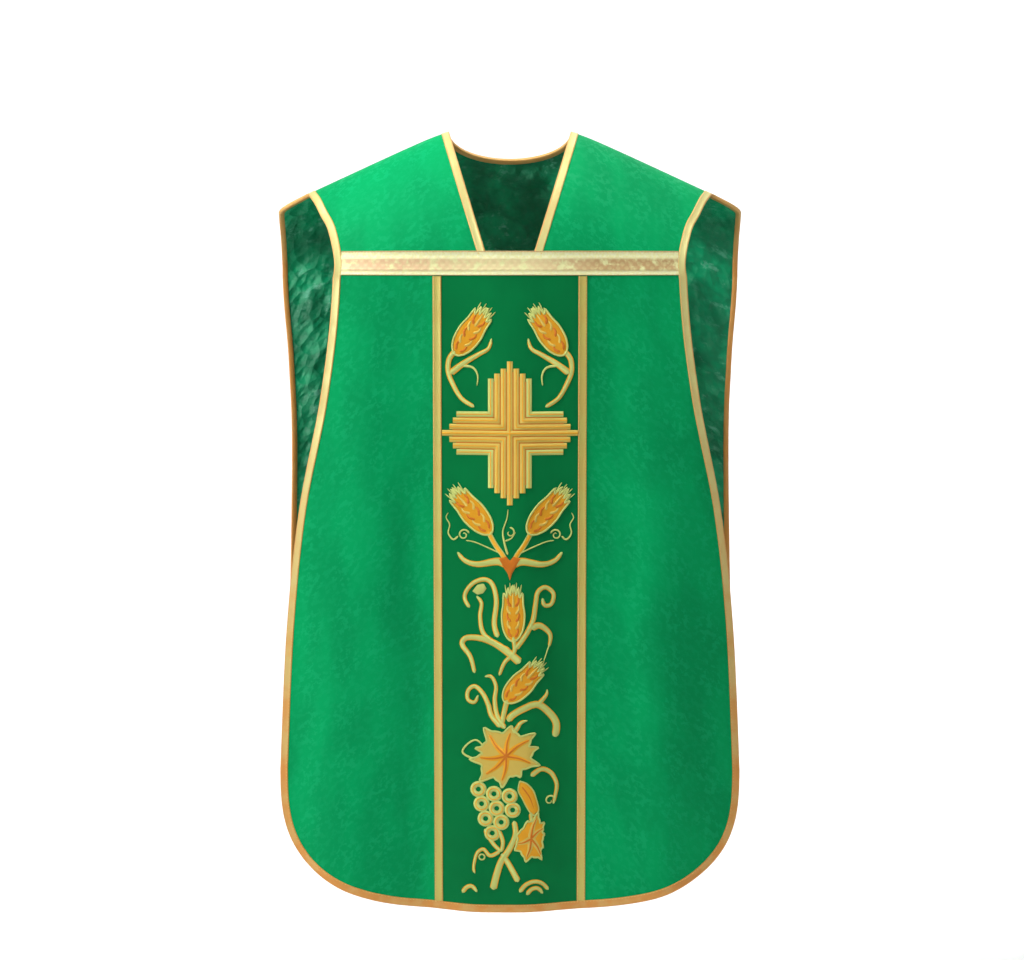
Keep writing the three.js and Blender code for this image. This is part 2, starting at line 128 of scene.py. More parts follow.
# Waves of the hanging cloth: depth and pitch in metres, and waves to a metre of drop.
SLOW_WAVE = SimpleNamespace(depth=6.0 * MM, pitch=0.23, lean=0.12)
QUICK_WAVE = SimpleNamespace(depth=1.2 * MM, pitch=0.096, lean=-0.55)
FRONT_PHASE = 1.16
BACK_PHASE = 2.1
WAVES_START_PATH = 62
WAVES_AT_BEND = 0.3
WAVES_FULL_DROP = 0.32

# Small cockles of the cloth, each depth with a size across and down.
COCKLE = SimpleNamespace(depth=0.45 * MM, across=0.045, down=0.060)
FINE_COCKLE = SimpleNamespace(depth=0.22 * MM, across=0.019, down=0.023)

# Puckers of the lining, and how far inside its rims they begin and reach their full depth.
BROAD_PUCKER = 3.4 * MM
SMALL_PUCKER = 2.0 * MM
PUCKER_START = 8 * MM
PUCKER_FULL = 45 * MM

# Hinges: the top of each panel's hinge, and the hinge's length.
FRONT_HINGE_TOP = -209 * MM
BACK_HINGE_TOP = -206.5 * MM
HINGE_LENGTH = 120 * MM

# The seed of all noise in the cloth, and the angle in degrees from which an edge is sharp.
GRAIN_SEED = 11
SHARP_ANGLE = 50


def length_property(name, description, default):
    return FloatProperty(name=name, description=description, default=default, unit="LENGTH")


class ChasubleSizes(bpy.types.PropertyGroup):
    """The driving sizes of the chasuble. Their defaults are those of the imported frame."""

    front_length: length_property(
        "Front length", "From the ridge at the neck to the front hem",
        -box_side("front_edge_binding", 0, 2))
    back_length: length_property(
        "Back length", "From the ridge at the neck to the back hem",
        -box_side("back_edge_binding", 0, 2))
    front_half_width: length_property(
        "Front half width", "From the middle to the side of the front at its hem",
        box_side("front_edge_binding", 1, 0))
    back_half_width: length_property(
        "Back half width", "From the middle to the side of the back",
        box_side("back_edge_binding", 1, 0))
    chest_half_width: length_property(
        "Chest half width", "From the middle to the armhole at the chest band",
        box_side("chest_band", 1, 0) + BINDING_WIDTH + GAP)
    column_half_width: length_property(
        "Column half width", "From the middle to the seam under a braid",
        box_side("front_column_cloth", 1, 0) + GAP / 2)
    neck_half_width: length_property(
        "Neck half width", "From the middle to the side of the neck on the ridge",
        box_side("neck_binding", 1, 0) - BINDING_WIDTH)
    band_top: length_property(
        "Band top", "From the ridge at the neck down to the chest band",
        -box_side("chest_band", 1, 2))
    front_bend: length_property(
        "Front bend", "From the ridge at the neck down to the foot of the chest band",
        -box_side("chest_band", 0, 2))
    back_bend: length_property(
        "Back bend", "From the ridge down to where the back begins to hang straight",
        -box_side("yoke_interlining", 0, 2))
    chest_depth: length_property(
        "Chest depth", "From the ridge forward to the chest",
        -box_side("front_column_cloth", 0, 1))
    blade_depth: length_property(
        "Blade depth", "From the ridge back to the shoulder blades",
        box_side("back_column_cloth", 1, 1))


def srgb(red, green, blue):
    """A screen colour of 0 to 255 as the linear colour of a shader."""
    shares = [value / 255 for value in (red, green, blue)]
    return tuple(s / 12.92 if s <= 0.04045 else ((s + 0.055) / 1.055) ** 2.4 for s in shares)


def colour_property(name, description, red, green, blue):
    return FloatVectorProperty(
        name=name, description=description, default=srgb(red, green, blue), subtype="COLOR",
        min=0, max=1)


class ChasubleColours(bpy.types.PropertyGroup):
    """The colours of the chasuble's cloths, trims and threads."""

    field: colour_property("Field", "Ground of the green damask", 0, 146, 83)
    figure: colour_property("Figure", "Woven figure of the green damask", 24, 168, 108)
    column: colour_property("Column", "Satin ground of the embroidered column", 0, 110, 56)
    lining: colour_property("Lining", "Satin lining", 0, 138, 90)
    gold: colour_property("Gold", "Metal thread of braids and bindings", 190, 182, 92)
    pale_gold: colour_property("Pale gold", "Light metal thread of the trims", 214, 214, 154)
    # Copper is also the colour that painted shade gives the bindings on their shaded stretches.
    copper: colour_property("Copper", "Warm thread along the edges of the trims", 208, 142, 64)
    rose: colour_property("Rose", "Middle of the wide galloon", 210, 150, 122)
    thread: colour_property("Thread", "Embroidery thread", 232, 164, 36)
    # Deep thread also lies as painted shade in the gaps between the bars of the cross.
    deep_thread: colour_property("Deep thread", "Shaded embroidery thread", 206, 116, 30)
    chestnut: colour_property("Chestnut", "Worn stretches of the wide galloon", 170, 126, 78)
    pale_thread: colour_property("Pale thread", "Couched outlines of the embroidery", 196, 204, 114)
    stage: colour_property("Stage", "Floor and backdrop", 250, 250, 250)


# ------------------------------------------------------------------ numbers and curves


def smoothstep(value, low, high):
    share = np.clip((value - low) / (high - low), 0, 1)
    return share * share * (3 - 2 * share)


def smooth_curve(points, pieces):
    """Points along a smooth curve through the given ones, so many to each stretch."""
    points = np.asarray(points, float)
    last = len(points) - 1
    along = np.linspace(0, last, pieces * last + 1)
    start = np.minimum(along.astype(int), last - 1)
    t = (along - start)[:, None]
    before, near, far, after = (points[np.clip(start + i, 0, last)] for i in (-1, 0, 1, 2))
    leave = (far - before) / 2
    arrive = (after - near) / 2
    curve = (2 * t**3 - 3 * t**2 + 1) * near + (t**3 - 2 * t**2 + t) * leave
    return curve + (3 * t**2 - 2 * t**3) * far + (t**3 - t**2) * arrive


def run_lengths(points):
    """Distance along a line of points, from its first."""
    steps = np.linalg.norm(np.diff(points, axis=0), axis=1)
    return np.concatenate([[0], np.cumsum(steps)])


def evenly(points, spacing):
    """The same line with its points spread evenly."""
    points = np.asarray(points, float)
    lengths = run_lengths(points)
    count = max(2, int(round(lengths[-1] / spacing)) + 1)
    stations = np.linspace(0, lengths[-1], count)
    return np.stack([np.interp(stations, lengths, points[:, i]) for i in range(points.shape[1])], 1)


def divided(points, spacing):
    """The same line with more points on its straight stretches, its corners kept."""
    points = np.asarray(points, float)
    parts = []
    for start, end in zip(points, points[1:]):
        count = max(1, int(np.linalg.norm(end - start) / spacing))
        parts.append(start + (end - start) * np.arange(count)[:, None] / count)
    return np.concatenate([*parts, points[-1:]])


def soft_noise(u, v, seed):
    """Smooth noise from -1 to 1 over a plane, one hump to each unit."""
    side = 64
    lattice = np.random.RandomState(seed).uniform(-1, 1, (side, side))
    iu, iv = np.floor(u).astype(int), np.floor(v).astype(int)
    fu, fv = smoothstep(u - iu, 0, 1), smoothstep(v - iv, 0, 1)
    corners = [lattice[(iu + i) % side, (iv + j) % side] for i in (0, 1) for j in (0, 1)]
    low = corners[0] * (1 - fv) + corners[1] * fv
    high = corners[2] * (1 - fv) + corners[3] * fv
    return low * (1 - fu) + high * fu


def nearest(points, line, block=2000):
    """Distance from each point to the closest point of a line, a block of points at a time."""
    found = np.empty(len(points))
    for start in range(0, len(points), block):
        some = slice(start, start + block)
        gaps = np.linalg.norm(points[some, None] - line[None], axis=2)
        found[some] = gaps.min(1)
    return found


# ------------------------------------------------------------------ the shape of the garment


class Garment:
    """The outer face of the cloth, as a function of x and of the path."""

    def __init__(self, sizes):
        self.sizes = sizes
        self.column = sizes.column_half_width
        chest, hem, wide = sizes.chest_half_width, sizes.front_half_width, sizes.back_half_width
        bend = sizes.front_bend
        front_side = [
            (chest, 0), (chest, bend), (chest + 18 * MM, bend + 163 * MM),
            (hem - 31 * MM, bend + 334 * MM), (hem - 11 * MM, bend + 508 * MM),
            (hem, sizes.front_length - FRONT_CORNER),
        ]
        bend = sizes.back_bend
        waist = BACK_WAIST_HALF_WIDTH
        back_side = [
            (wide, 0), (wide, bend), (waist + 3 * MM, bend + 130 * MM),
            (waist, bend + 290 * MM), (wide, sizes.back_length - BACK_CORNER),
        ]
        self.front = SimpleNamespace(
            sign=-1, bend=sizes.front_bend, length=sizes.front_length, corner=FRONT_CORNER,
            half_width=hem, side=smooth_curve(front_side, 24))
        self.back = SimpleNamespace(
            sign=1, bend=sizes.back_bend, length=sizes.back_length, corner=BACK_CORNER,
            half_width=wide, side=smooth_curve(back_side, 24))
        self.yoke_side = smooth_curve([
            (-BEND_PATH, chest), (-76, chest - 1.7 * MM), (-56, chest + 8 * MM), (-41, chest + 22 * MM),
            (-18, RIDGE_HALF_WIDTH - 8 * MM), (0, RIDGE_HALF_WIDTH), (5, RIDGE_HALF_WIDTH + 20 * MM),
            (12, wide - 6 * MM), (26, wide - 1 * MM), (BEND_PATH, wide),
        ], 12)

    def ridge(self, x):
        outside = np.abs(x) - self.sizes.neck_half_width
        run = (np.hypot(outside, SHOULDER_ROUNDING) + outside) / 2
        return SHOULDER_SLOPE * (SHOULDER_ROUNDING / 2 - run)

    def drop(self, path):
        """How far down a panel a place is from its bend, along the cloth."""
        return np.maximum(np.abs(path) - BEND_PATH, 0) * PATH_STEP

    def fold(self, x, drop, half_width):
        """How far a side of a panel swells outward between its column and its edge."""
        across = np.clip((np.abs(x) - self.column) / (half_width - self.column), 0, 1)
        return FOLD_DEPTH * smoothstep(drop, 0, FOLD_START) * np.sin(math.pi * across) ** 2

    def sway(self, x, path, drop):
        """The slow waves of hanging cloth, in metres outward."""
        phase = np.where(path < 0, FRONT_PHASE, BACK_PHASE)
        grown = WAVES_AT_BEND + (1 - WAVES_AT_BEND) * smoothstep(drop, 0, WAVES_FULL_DROP)
        grown = smoothstep(np.abs(path), WAVES_START_PATH, BEND_PATH) * grown
        waves = 0
        for wave, share in ((SLOW_WAVE, 1), (QUICK_WAVE, 2)):
            turn = 2 * math.pi * (x / wave.pitch + wave.lean * drop) + share * phase
            waves = waves + wave.depth * np.sin(turn)
        down = path * PATH_STEP
        cockle = COCKLE.depth * soft_noise(x / COCKLE.across + 20, down / COCKLE.down + 30, GRAIN_SEED)
        fine = FINE_COCKLE.depth * soft_noise(
            x / FINE_COCKLE.across + 9, down / FINE_COCKLE.down + 40, GRAIN_SEED + 1)
        return grown * waves + cockle + fine

    def point(self, x, path):
        """A place on the outer face of the cloth."""
        x, path = np.broadcast_arrays(np.asarray(x, float), np.asarray(path, float))
        angle = np.radians(np.clip(path, -BEND_PATH, BEND_PATH))
        rise = np.abs(np.cos(angle)) ** ARCH_FULLNESS
        reach = np.abs(np.sin(angle)) ** ARCH_FULLNESS
        front = path < 0
        sizes = self.sizes
        drop = self.drop(path)
        foot = np.where(front, -sizes.front_bend, -sizes.back_bend)
        chest = -sizes.chest_depth + CHEST_CURVE * (x / sizes.chest_half_width) ** 2
        blade = sizes.blade_depth - BLADE_CURVE * (x / sizes.back_half_width) ** 2
        half_width = np.where(front, sizes.front_half_width, sizes.back_half_width)
        outward = self.fold(x, drop, half_width) + self.sway(x, path, drop) * reach
        y = np.where(front, chest, blade) * reach + np.where(front, -outward, outward)
        z = foot + (self.ridge(x) - foot) * rise - drop
        return np.stack([x, y, z], -1)

    def slopes(self, x, path):
        """How the face runs for a metre of x and for a unit of path."""
        across = (self.point(x + MM, path) - self.point(x - MM, path)) / (2 * MM)
        down = (self.point(x, path + 1) - self.point(x, path - 1)) / 2
        return across, down

    def normal(self, x, path):
        across, down = self.slopes(x, path)
        outward = np.cross(across, down)
        return outward / np.linalg.norm(outward, axis=-1, keepdims=True)

    def lifted(self, x, path, lift):
        """A place at some distance outside the face of the cloth."""
        return self.point(x, path) + self.normal(x, path) * np.asarray(lift)[..., None]

    def aside(self, x, path, distance):
        """Steps off a line on the cloth by a distance to its left, seen from outside."""
        across, down = self.slopes(x, path)
        forward = np.gradient(self.point(x, path), axis=0)
        left = np.cross(self.normal(x, path), forward)
        left /= np.linalg.norm(left, axis=-1, keepdims=True)
        aa, ad, dd = ((p * q).sum(-1) for p, q in ((across, across), (across, down), (down, down)))
        la, ld = (left * across).sum(-1), (left * down).sum(-1)
        area = aa * dd - ad * ad
        return x + distance * (la * dd - ld * ad) / area, path + distance * (ld * aa - la * ad) / area

    def path_at(self, x, z, sign):
        """The path where the cloth at x is at some height, on the front (-1) or back (1)."""
        foot = np.where(np.asarray(sign) < 0, -self.sizes.front_bend, -self.sizes.back_bend)
        rise = np.clip((z - foot) / (self.ridge(x) - foot), 0, 1)
        angle = np.degrees(np.arccos(rise ** (1 / ARCH_FULLNESS)))
        return sign * (angle + np.maximum(foot - z, 0) / PATH_STEP)

    def path_down(self, panel, drop):
        """The path on a panel at some distance below the ridge at the neck."""
        return panel.sign * (BEND_PATH + (drop - panel.bend) / PATH_STEP)

    # Lines on the cloth, as rows of x and path.

    def panel_rim(self, panel, inset):
        """The wearer's left rim of a panel, from its bend down to the middle of its hem."""
        side = panel.side[panel.side[:, 1] >= panel.bend]
        turn = np.linspace(0, math.pi / 2, 60)[1:]
        power = 2 / CORNER_SQUARENESS
        x = (panel.half_width - inset) * np.abs(np.cos(turn)) ** power
        drop = panel.length - panel.corner + (panel.corner - inset) * np.sin(turn) ** power
        x = np.concatenate([side[:, 0] - inset, x])
        drop = np.concatenate([side[:, 1], drop])
        return np.stack([x, self.path_down(panel, drop)], 1)

    def armhole_rim(self, inset):
        """The wearer's left armhole, from the front bend over the shoulder to the back bend."""
        return np.stack([self.yoke_side[:, 1] - inset, self.yoke_side[:, 0]], 1)

    def left_rim(self, inset):
        """The whole left side, from the middle of the front hem to that of the back hem."""
        front = self.panel_rim(self.front, inset)[::-1]
        back = self.panel_rim(self.back, inset)
        return np.concatenate([front[:-1], self.armhole_rim(inset), back[1:]])

    def hem_path(self, panel, inset):
        """Where the seam of the column meets the hem of a panel, some way inside its rim."""
        rim = self.panel_rim(panel, inset)
        return float(np.interp(-self.column, -rim[:, 0], rim[:, 1]))

    def neck_half(self, z, grow):
        taper = (self.sizes.neck_half_width - NECK_FRONT_HALF_WIDTH) / self.sizes.band_top
        return self.sizes.neck_half_width + grow + taper * np.minimum(z, 0)

    def neck_rim(self, grow):
        """The left half of the neck opening, from its front foot round to the middle of the back."""
        bottom = self.path_at(NECK_FRONT_HALF_WIDTH, -self.sizes.band_top, -1)
        paths = np.linspace(float(bottom), 0, 60)
        rise = np.cos(np.radians(paths)) ** ARCH_FULLNESS
        bend = self.sizes.front_bend
        x = np.full(60, self.sizes.neck_half_width)
        for _ in range(20):  # the rim's x sets its height, which sets its x
            x = self.neck_half((self.ridge(x) + bend) * rise - bend, grow)
        turn = np.linspace(0, math.pi / 2, 60)[1:]
        back_x = (self.sizes.neck_half_width + grow) * np.cos(turn)
        back_z = -(BACK_NECK_DROP + grow) * np.sin(turn)
        front = np.stack([x, paths], 1)
        back = np.stack([back_x, self.path_at(back_x, back_z, 1)], 1)
        return np.concatenate([front, back])

    def both_sides(self, left_line):
        """A left line that ends in the middle, carried on up its mirror image."""
        mirrored = left_line[::-1] * (-1, 1)
        return np.concatenate([left_line[:-1], mirrored])

    def laid_length(self, x, path):
        """How far each place is from the ridge along the cloth, in metres, negative in front."""
        reach = self.sizes.back_half_width
        across = np.linspace(-reach, reach, LAID_COLUMNS)
        down = np.linspace(0, BEND_PATH, LAID_ROWS)
        column = (x + reach) / (across[1] - across[0])
        row = np.clip(np.abs(path), 0, BEND_PATH) / down[1]
        left = np.clip(column.astype(int), 0, LAID_COLUMNS - 2)
        top = np.clip(row.astype(int), 0, LAID_ROWS - 2)
        right_share, low_share = column - left, row - top
        laid = self.drop(path)
        for side in (-1, 1):
            grid = self.point(np.repeat(across, LAID_ROWS), side * np.tile(down, LAID_COLUMNS))
            grid = grid.reshape(LAID_COLUMNS, LAID_ROWS, 3)
            runs = np.cumsum(np.linalg.norm(np.diff(grid, axis=1), axis=2), axis=1)
            runs = np.pad(runs, ((0, 0), (1, 0)))
            upper = runs[left, top] * (1 - right_share) + runs[left + 1, top] * right_share
            lower = runs[left, top + 1] * (1 - right_share) + runs[left + 1, top + 1] * right_share
            here = (path < 0) == (side < 0)
            laid = laid + np.where(here, upper * (1 - low_share) + lower * low_share, 0)
        return np.where(path < 0, -laid, laid)


@functools.lru_cache
def garment():
    return Garment(bpy.context.scene.chasuble_sizes)


# ------------------------------------------------------------------ the flat pattern


def triangulate(lines, loops, fill):
    """Joins points into triangles along lines and closed loops. Returns points and triangles."""
    points, edges = [], []
    for line, closed in [(line, False) for line in lines] + [(loop, True) for loop in loops]:
        first = len(points)
        points.extend(line)
        edges.extend((first + i, first + i + 1) for i in range(len(line) - 1))
        if closed:
            edges.append((len(points) - 1, first))
    points.extend(fill)
    found = delaunay_2d_cdt([Vector(p) for p in points], edges, [], 0, 1e-7)
    triangles = np.array([face for face in found[2] if len(face) == 3])
    return np.array([tuple(p) for p in found[0]]), triangles


def honeycomb(low, high, spacing):
    """Points in staggered rows over a rectangle."""
    rows = np.arange(low[1], high[1], spacing * math.sqrt(3) / 2)
    points = []
    for i, row in enumerate(rows):
        across = np.arange(low[0] + (i % 2) * spacing / 2, high[0], spacing)
        points.append(np.stack([across, np.full(len(across), row)], 1))
    return np.concatenate(points)


def inside(points, loop):
    """Which points lie within a closed loop."""
    x, y = points[:, 0], points[:, 1]
    within = np.zeros(len(points), bool)
    for (x0, y0), (x1, y1) in zip(loop, np.roll(loop, -1, axis=0)):
        if y0 == y1:
            continue
        crosses = (y0 > y) != (y1 > y)
        within ^= crosses & (x < x0 + (y - y0) * (x1 - x0) / (y1 - y0))
    return within


@functools.lru_cache
def pattern():
    """The garment laid flat: points as x and path, triangles, and each point's room to a rim."""
    cloth = garment()
    flat = np.array([1, PATH_STEP])
    rim = cloth.left_rim(CLOTH_INSET) * flat
    rim = evenly(np.concatenate([rim, rim[::-1] * (-1, 1)]), CUT_SPACING)[:-1]
    neck = cloth.both_sides(cloth.neck_rim(CLOTH_INSET)) * flat
    neck = evenly(np.concatenate([neck, neck[:1]]), CUT_SPACING)[:-1]
    reach = cloth.sizes.back_half_width
    seams = []
    for x in (-cloth.column, cloth.column):
        seams.append([(x, cloth.hem_path(cloth.front, CLOTH_INSET)), (x, FRONT_JOINT_PATH)])
        seams.append([(x, SHOULDER_SEAM_PATH), (x, cloth.hem_path(cloth.back, CLOTH_INSET))])
    for path in (-BEND_PATH, FRONT_JOINT_PATH, SHOULDER_SEAM_PATH):
        seams.append([(-reach, path), (reach, path)])
    neck_foot = float(cloth.path_at(0, -cloth.sizes.band_top - NECK_LAP, -1))
    seams.append([(0, FRONT_JOINT_PATH), (0, neck_foot)])
    lines = [evenly(np.array(seam) * flat, CUT_SPACING) for seam in seams]
    lines = [line[inside(line, rim) & ~inside(line, neck)] for line in lines]
    split = []
    for line in lines:
        jumps = np.linalg.norm(np.diff(line, axis=0), axis=1) > 3 * CUT_SPACING
        breaks = np.flatnonzero(jumps) + 1
        split.extend(part for part in np.split(line, breaks) if len(part) > 1)
    fill = honeycomb(rim.min(0), rim.max(0), CUT_SPACING)
    fill = fill[inside(fill, rim) & ~inside(fill, neck)]
    fill = fill[nearest(fill, np.concatenate([rim, neck, *split])) > 0.55 * CUT_SPACING]
    points, triangles = triangulate(split, [rim, neck], fill)
    centres = points[triangles].mean(1)
    triangles = triangles[inside(centres, rim) & ~inside(centres, neck)]
    room = nearest(points, np.concatenate([rim, neck]))
    return points / flat, triangles, room


# ------------------------------------------------------------------ making meshes


def add_mesh(name, points, faces, uvs, materials, tones=None):
    """An object from points, faces, one flat place for each point, and its materials."""
    mesh = bpy.data.meshes.new(name)
    faces = [tuple(int(i) for i in face) for face in faces]
    mesh.from_pydata([tuple(p) for p in points], [], faces)
    layer = mesh.uv_layers.new(name="cloth")
    corners = np.empty(len(mesh.loops), np.int32)
    mesh.loops.foreach_get("vertex_index", corners)
    layer.data.foreach_set("uv", np.asarray(uvs, np.float32)[corners].ravel())
    for material in materials:
        mesh.materials.append(material)
    if tones is not None:
        mesh.polygons.foreach_set("material_index", np.asarray(tones, np.int32))
    mesh.shade_smooth()
    mesh.set_sharp_from_angle(angle=math.radians(SHARP_ANGLE))
    mesh.validate()
    piece = bpy.data.objects.new(name, mesh)
    bpy.context.scene.collection.objects.link(piece)
    return piece


def rim_edges(triangles):
    """The edges that only one triangle has, in that triangle's direction."""
    edges = np.concatenate([triangles[:, [0, 1]], triangles[:, [1, 2]], triangles[:, [2, 0]]])
    keys = np.sort(edges, axis=1)
    _, first, counts = np.unique(keys, axis=0, return_index=True, return_counts=True)
    return edges[first[counts == 1]]


def slab_faces(triangles, count):
    """Both faces of a layer and its walls. The points of its second face start at count."""
    edges = rim_edges(triangles)
    walls = np.stack([edges[:, 1], edges[:, 0], edges[:, 0] + count, edges[:, 1] + count], 1)
    return [*triangles, *(triangles[:, ::-1] + count), *walls]


def tube_faces(stations, size, closed=False, turned=False):
    """Faces round a tube of rings, and its two ends unless it is closed."""
    faces = []
    for i in range(stations if closed else stations - 1):
        here, ahead = i * size, (i + 1) % stations * size
        for j in range(size):
            k = (j + 1) % size
            faces.append((here + j, ahead + j, ahead + k, here + k))
    if turned:
        faces = [face[:1] + face[:0:-1] for face in faces]
    if not closed:
        last = (stations - 1) * size
        ends = [tuple(range(size)), tuple(reversed(range(last, last + size)))]
        faces.extend(end[::-1] if turned else end for end in ends)
    return faces


def cut_cloth(name, widths, paths, layer, material, relief=None):
    """A layer of cloth from the part of the pattern between two widths and two paths."""
    cloth = garment()
    outer, inner = layer
    points, triangles, room = pattern()
    low, high = np.array([widths, paths]).T
    centres = points[triangles].mean(1)
    used = triangles[((centres > low) & (centres < high)).all(1)]
    kept, index = np.unique(used, return_inverse=True)
    triangles = index.reshape(-1, 3)
    x, path = points[kept].T
    drop = np.zeros(len(x)) if relief is None else relief(x, path, room[kept])
    face = cloth.point(x, path)
    normal = cloth.normal(x, path)
    first = face + normal * (outer + drop)[:, None]
    second = face + normal * (inner + drop)[:, None]
    turned = np.cross(first[triangles[:, 1]] - first[triangles[:, 0]],
                      first[triangles[:, 2]] - first[triangles[:, 0]])
    flipped = (turned * normal[triangles[:, 0]]).sum(1) < 0
    triangles[flipped] = triangles[flipped][:, ::-1]
    flat = np.stack([x, cloth.laid_length(x, path)], 1)
    piece = add_mesh(name, np.concatenate([first, second]), slab_faces(triangles, len(x)),
                     np.concatenate([flat, flat]), [material])
    piece["cut_area"] = float(np.linalg.norm(turned, axis=1).sum() / 2)
    middle = np.full(80, float(x[np.argmin(np.abs(x))]))
    length = run_lengths(cloth.point(middle, np.linspace(path.min(), path.max(), 80)))[-1]
    piece["cut_width"] = float(x.max() - x.min())
    piece["cut_length"] = float(length)
    return piece


def sweep(line, profile):
    """A closed section of (inset, lift) in millimetres, carried along a line on the cloth."""
    cloth = garment()
    rings, uvs = [], []
    along = run_lengths(cloth.point(line[:, 0], line[:, 1]))
    section = np.array(profile) * MM
    around = run_lengths(np.concatenate([section, section[:1]]))
    for (inset, lift), turn in zip(section, around):
        x, path = cloth.aside(line[:, 0], line[:, 1], inset)
        rings.append(cloth.lifted(x, path, np.full(len(x), lift)))
        uvs.append(np.stack([along, np.full(len(along), turn)], 1))
    points = np.stack(rings, 1).reshape(-1, 3)
    uvs = np.stack(uvs, 1).reshape(-1, 2)
    return points, tube_faces(len(line), len(profile)), uvs


STITCH_LENGTH = 2.8 * MM
STITCH_PITCH = 4.6 * MM
STITCH_RADIUS = 0.32 * MM
STITCH_FACES = [(0, 3, 2), (0, 4, 3), (0, 5, 4), (0, 2, 5), (1, 2, 3), (1, 3, 4), (1, 4, 5), (1, 5, 2)]
TRIM_SPACING = 6 * MM


def stitches(line, inset, lift, first_index):
    """A row of short stitches beside a line on the cloth."""
    cloth = garment()
    x, path = cloth.aside(line[:, 0], line[:, 1], inset)
    track = evenly(cloth.lifted(x, path, np.full(len(x), lift)), STITCH_PITCH)
    share = np.linspace(0, len(x) - 1, len(track))
    ux = np.interp(share, np.arange(len(x)), x)
    up = np.interp(share, np.arange(len(x)), path)
    normal = cloth.normal(ux, up)
    forward = np.gradient(track, axis=0)
    forward /= np.linalg.norm(forward, axis=1, keepdims=True)
    side = np.cross(normal, forward)
    reach = STITCH_LENGTH / 2
    tips = [track - forward * reach, track + forward * reach]
    waist = [track + side * STITCH_RADIUS, track + normal * STITCH_RADIUS,
             track - side * STITCH_RADIUS, track - normal * STITCH_RADIUS]
    points = np.stack(tips + waist, 1).reshape(-1, 3)
    starts = range(first_index, first_index + len(points), 6)
    faces = [tuple(start + j for j in face) for start in starts for face in STITCH_FACES]
    return points, faces


def sew_trim(name, line, profile, insets, materials, measured="start"):
    """A woven trim along a line, with a row of stitches at each of the given (inset, lift) places.

    Places along it are measured from its start, from its end, or from both ends to its middle.
    """
    line = evenly_on_cloth(line, TRIM_SPACING)
    points, faces, uvs = sweep(line, profile)
    if measured == "end":
        uvs[:, 0] = uvs[:, 0].max() - uvs[:, 0]
    if measured == "both":
        uvs[:, 0] = np.minimum(uvs[:, 0], uvs[:, 0].max() - uvs[:, 0])
    tones = [0] * len(faces)
    for inset, lift in insets:
        more_points, more_faces = stitches(line, inset * MM, lift * MM, len(points))
        points = np.concatenate([points, more_points])
        faces += more_faces
        uvs = np.concatenate([uvs, np.zeros((len(more_points), 2))])
        tones += [1] * len(more_faces)
    return add_mesh(name, points, faces, uvs, materials, tones)


def evenly_on_cloth(line, spacing):
    """A line of x and path with its points spread evenly over the cloth."""
    fine = evenly(line * (1, PATH_STEP), spacing / 4) / (1, PATH_STEP)
    lengths = run_lengths(garment().point(fine[:, 0], fine[:, 1]))
    count = max(2, int(round(lengths[-1] / spacing)) + 1)
    stations = np.linspace(0, lengths[-1], count)
    return np.stack([np.interp(stations, lengths, fine[:, i]) for i in (0, 1)], 1)


# ------------------------------------------------------------------ materials


class Signal:
    """A shader socket that can be reckoned with: each sum adds a Math node."""

    def __init__(self, finish, socket):
        self.finish = finish
        self.socket = socket

    def reckon(self, operation, first, second):
        return self.finish.node("ShaderNodeMath", {"operation": operation}, {0: first, 1: second})

    def __add__(self, other):
        return self.reckon("ADD", self, other)

    def __radd__(self, other):
        return self.reckon("ADD", other, self)

    def __sub__(self, other):
        return self.reckon("SUBTRACT", self, other)

    def __rsub__(self, other):
        return self.reckon("SUBTRACT", other, self)

    def __mul__(self, other):
        return self.reckon("MULTIPLY", self, other)

    def __rmul__(self, other):
        return self.reckon("MULTIPLY", other, self)


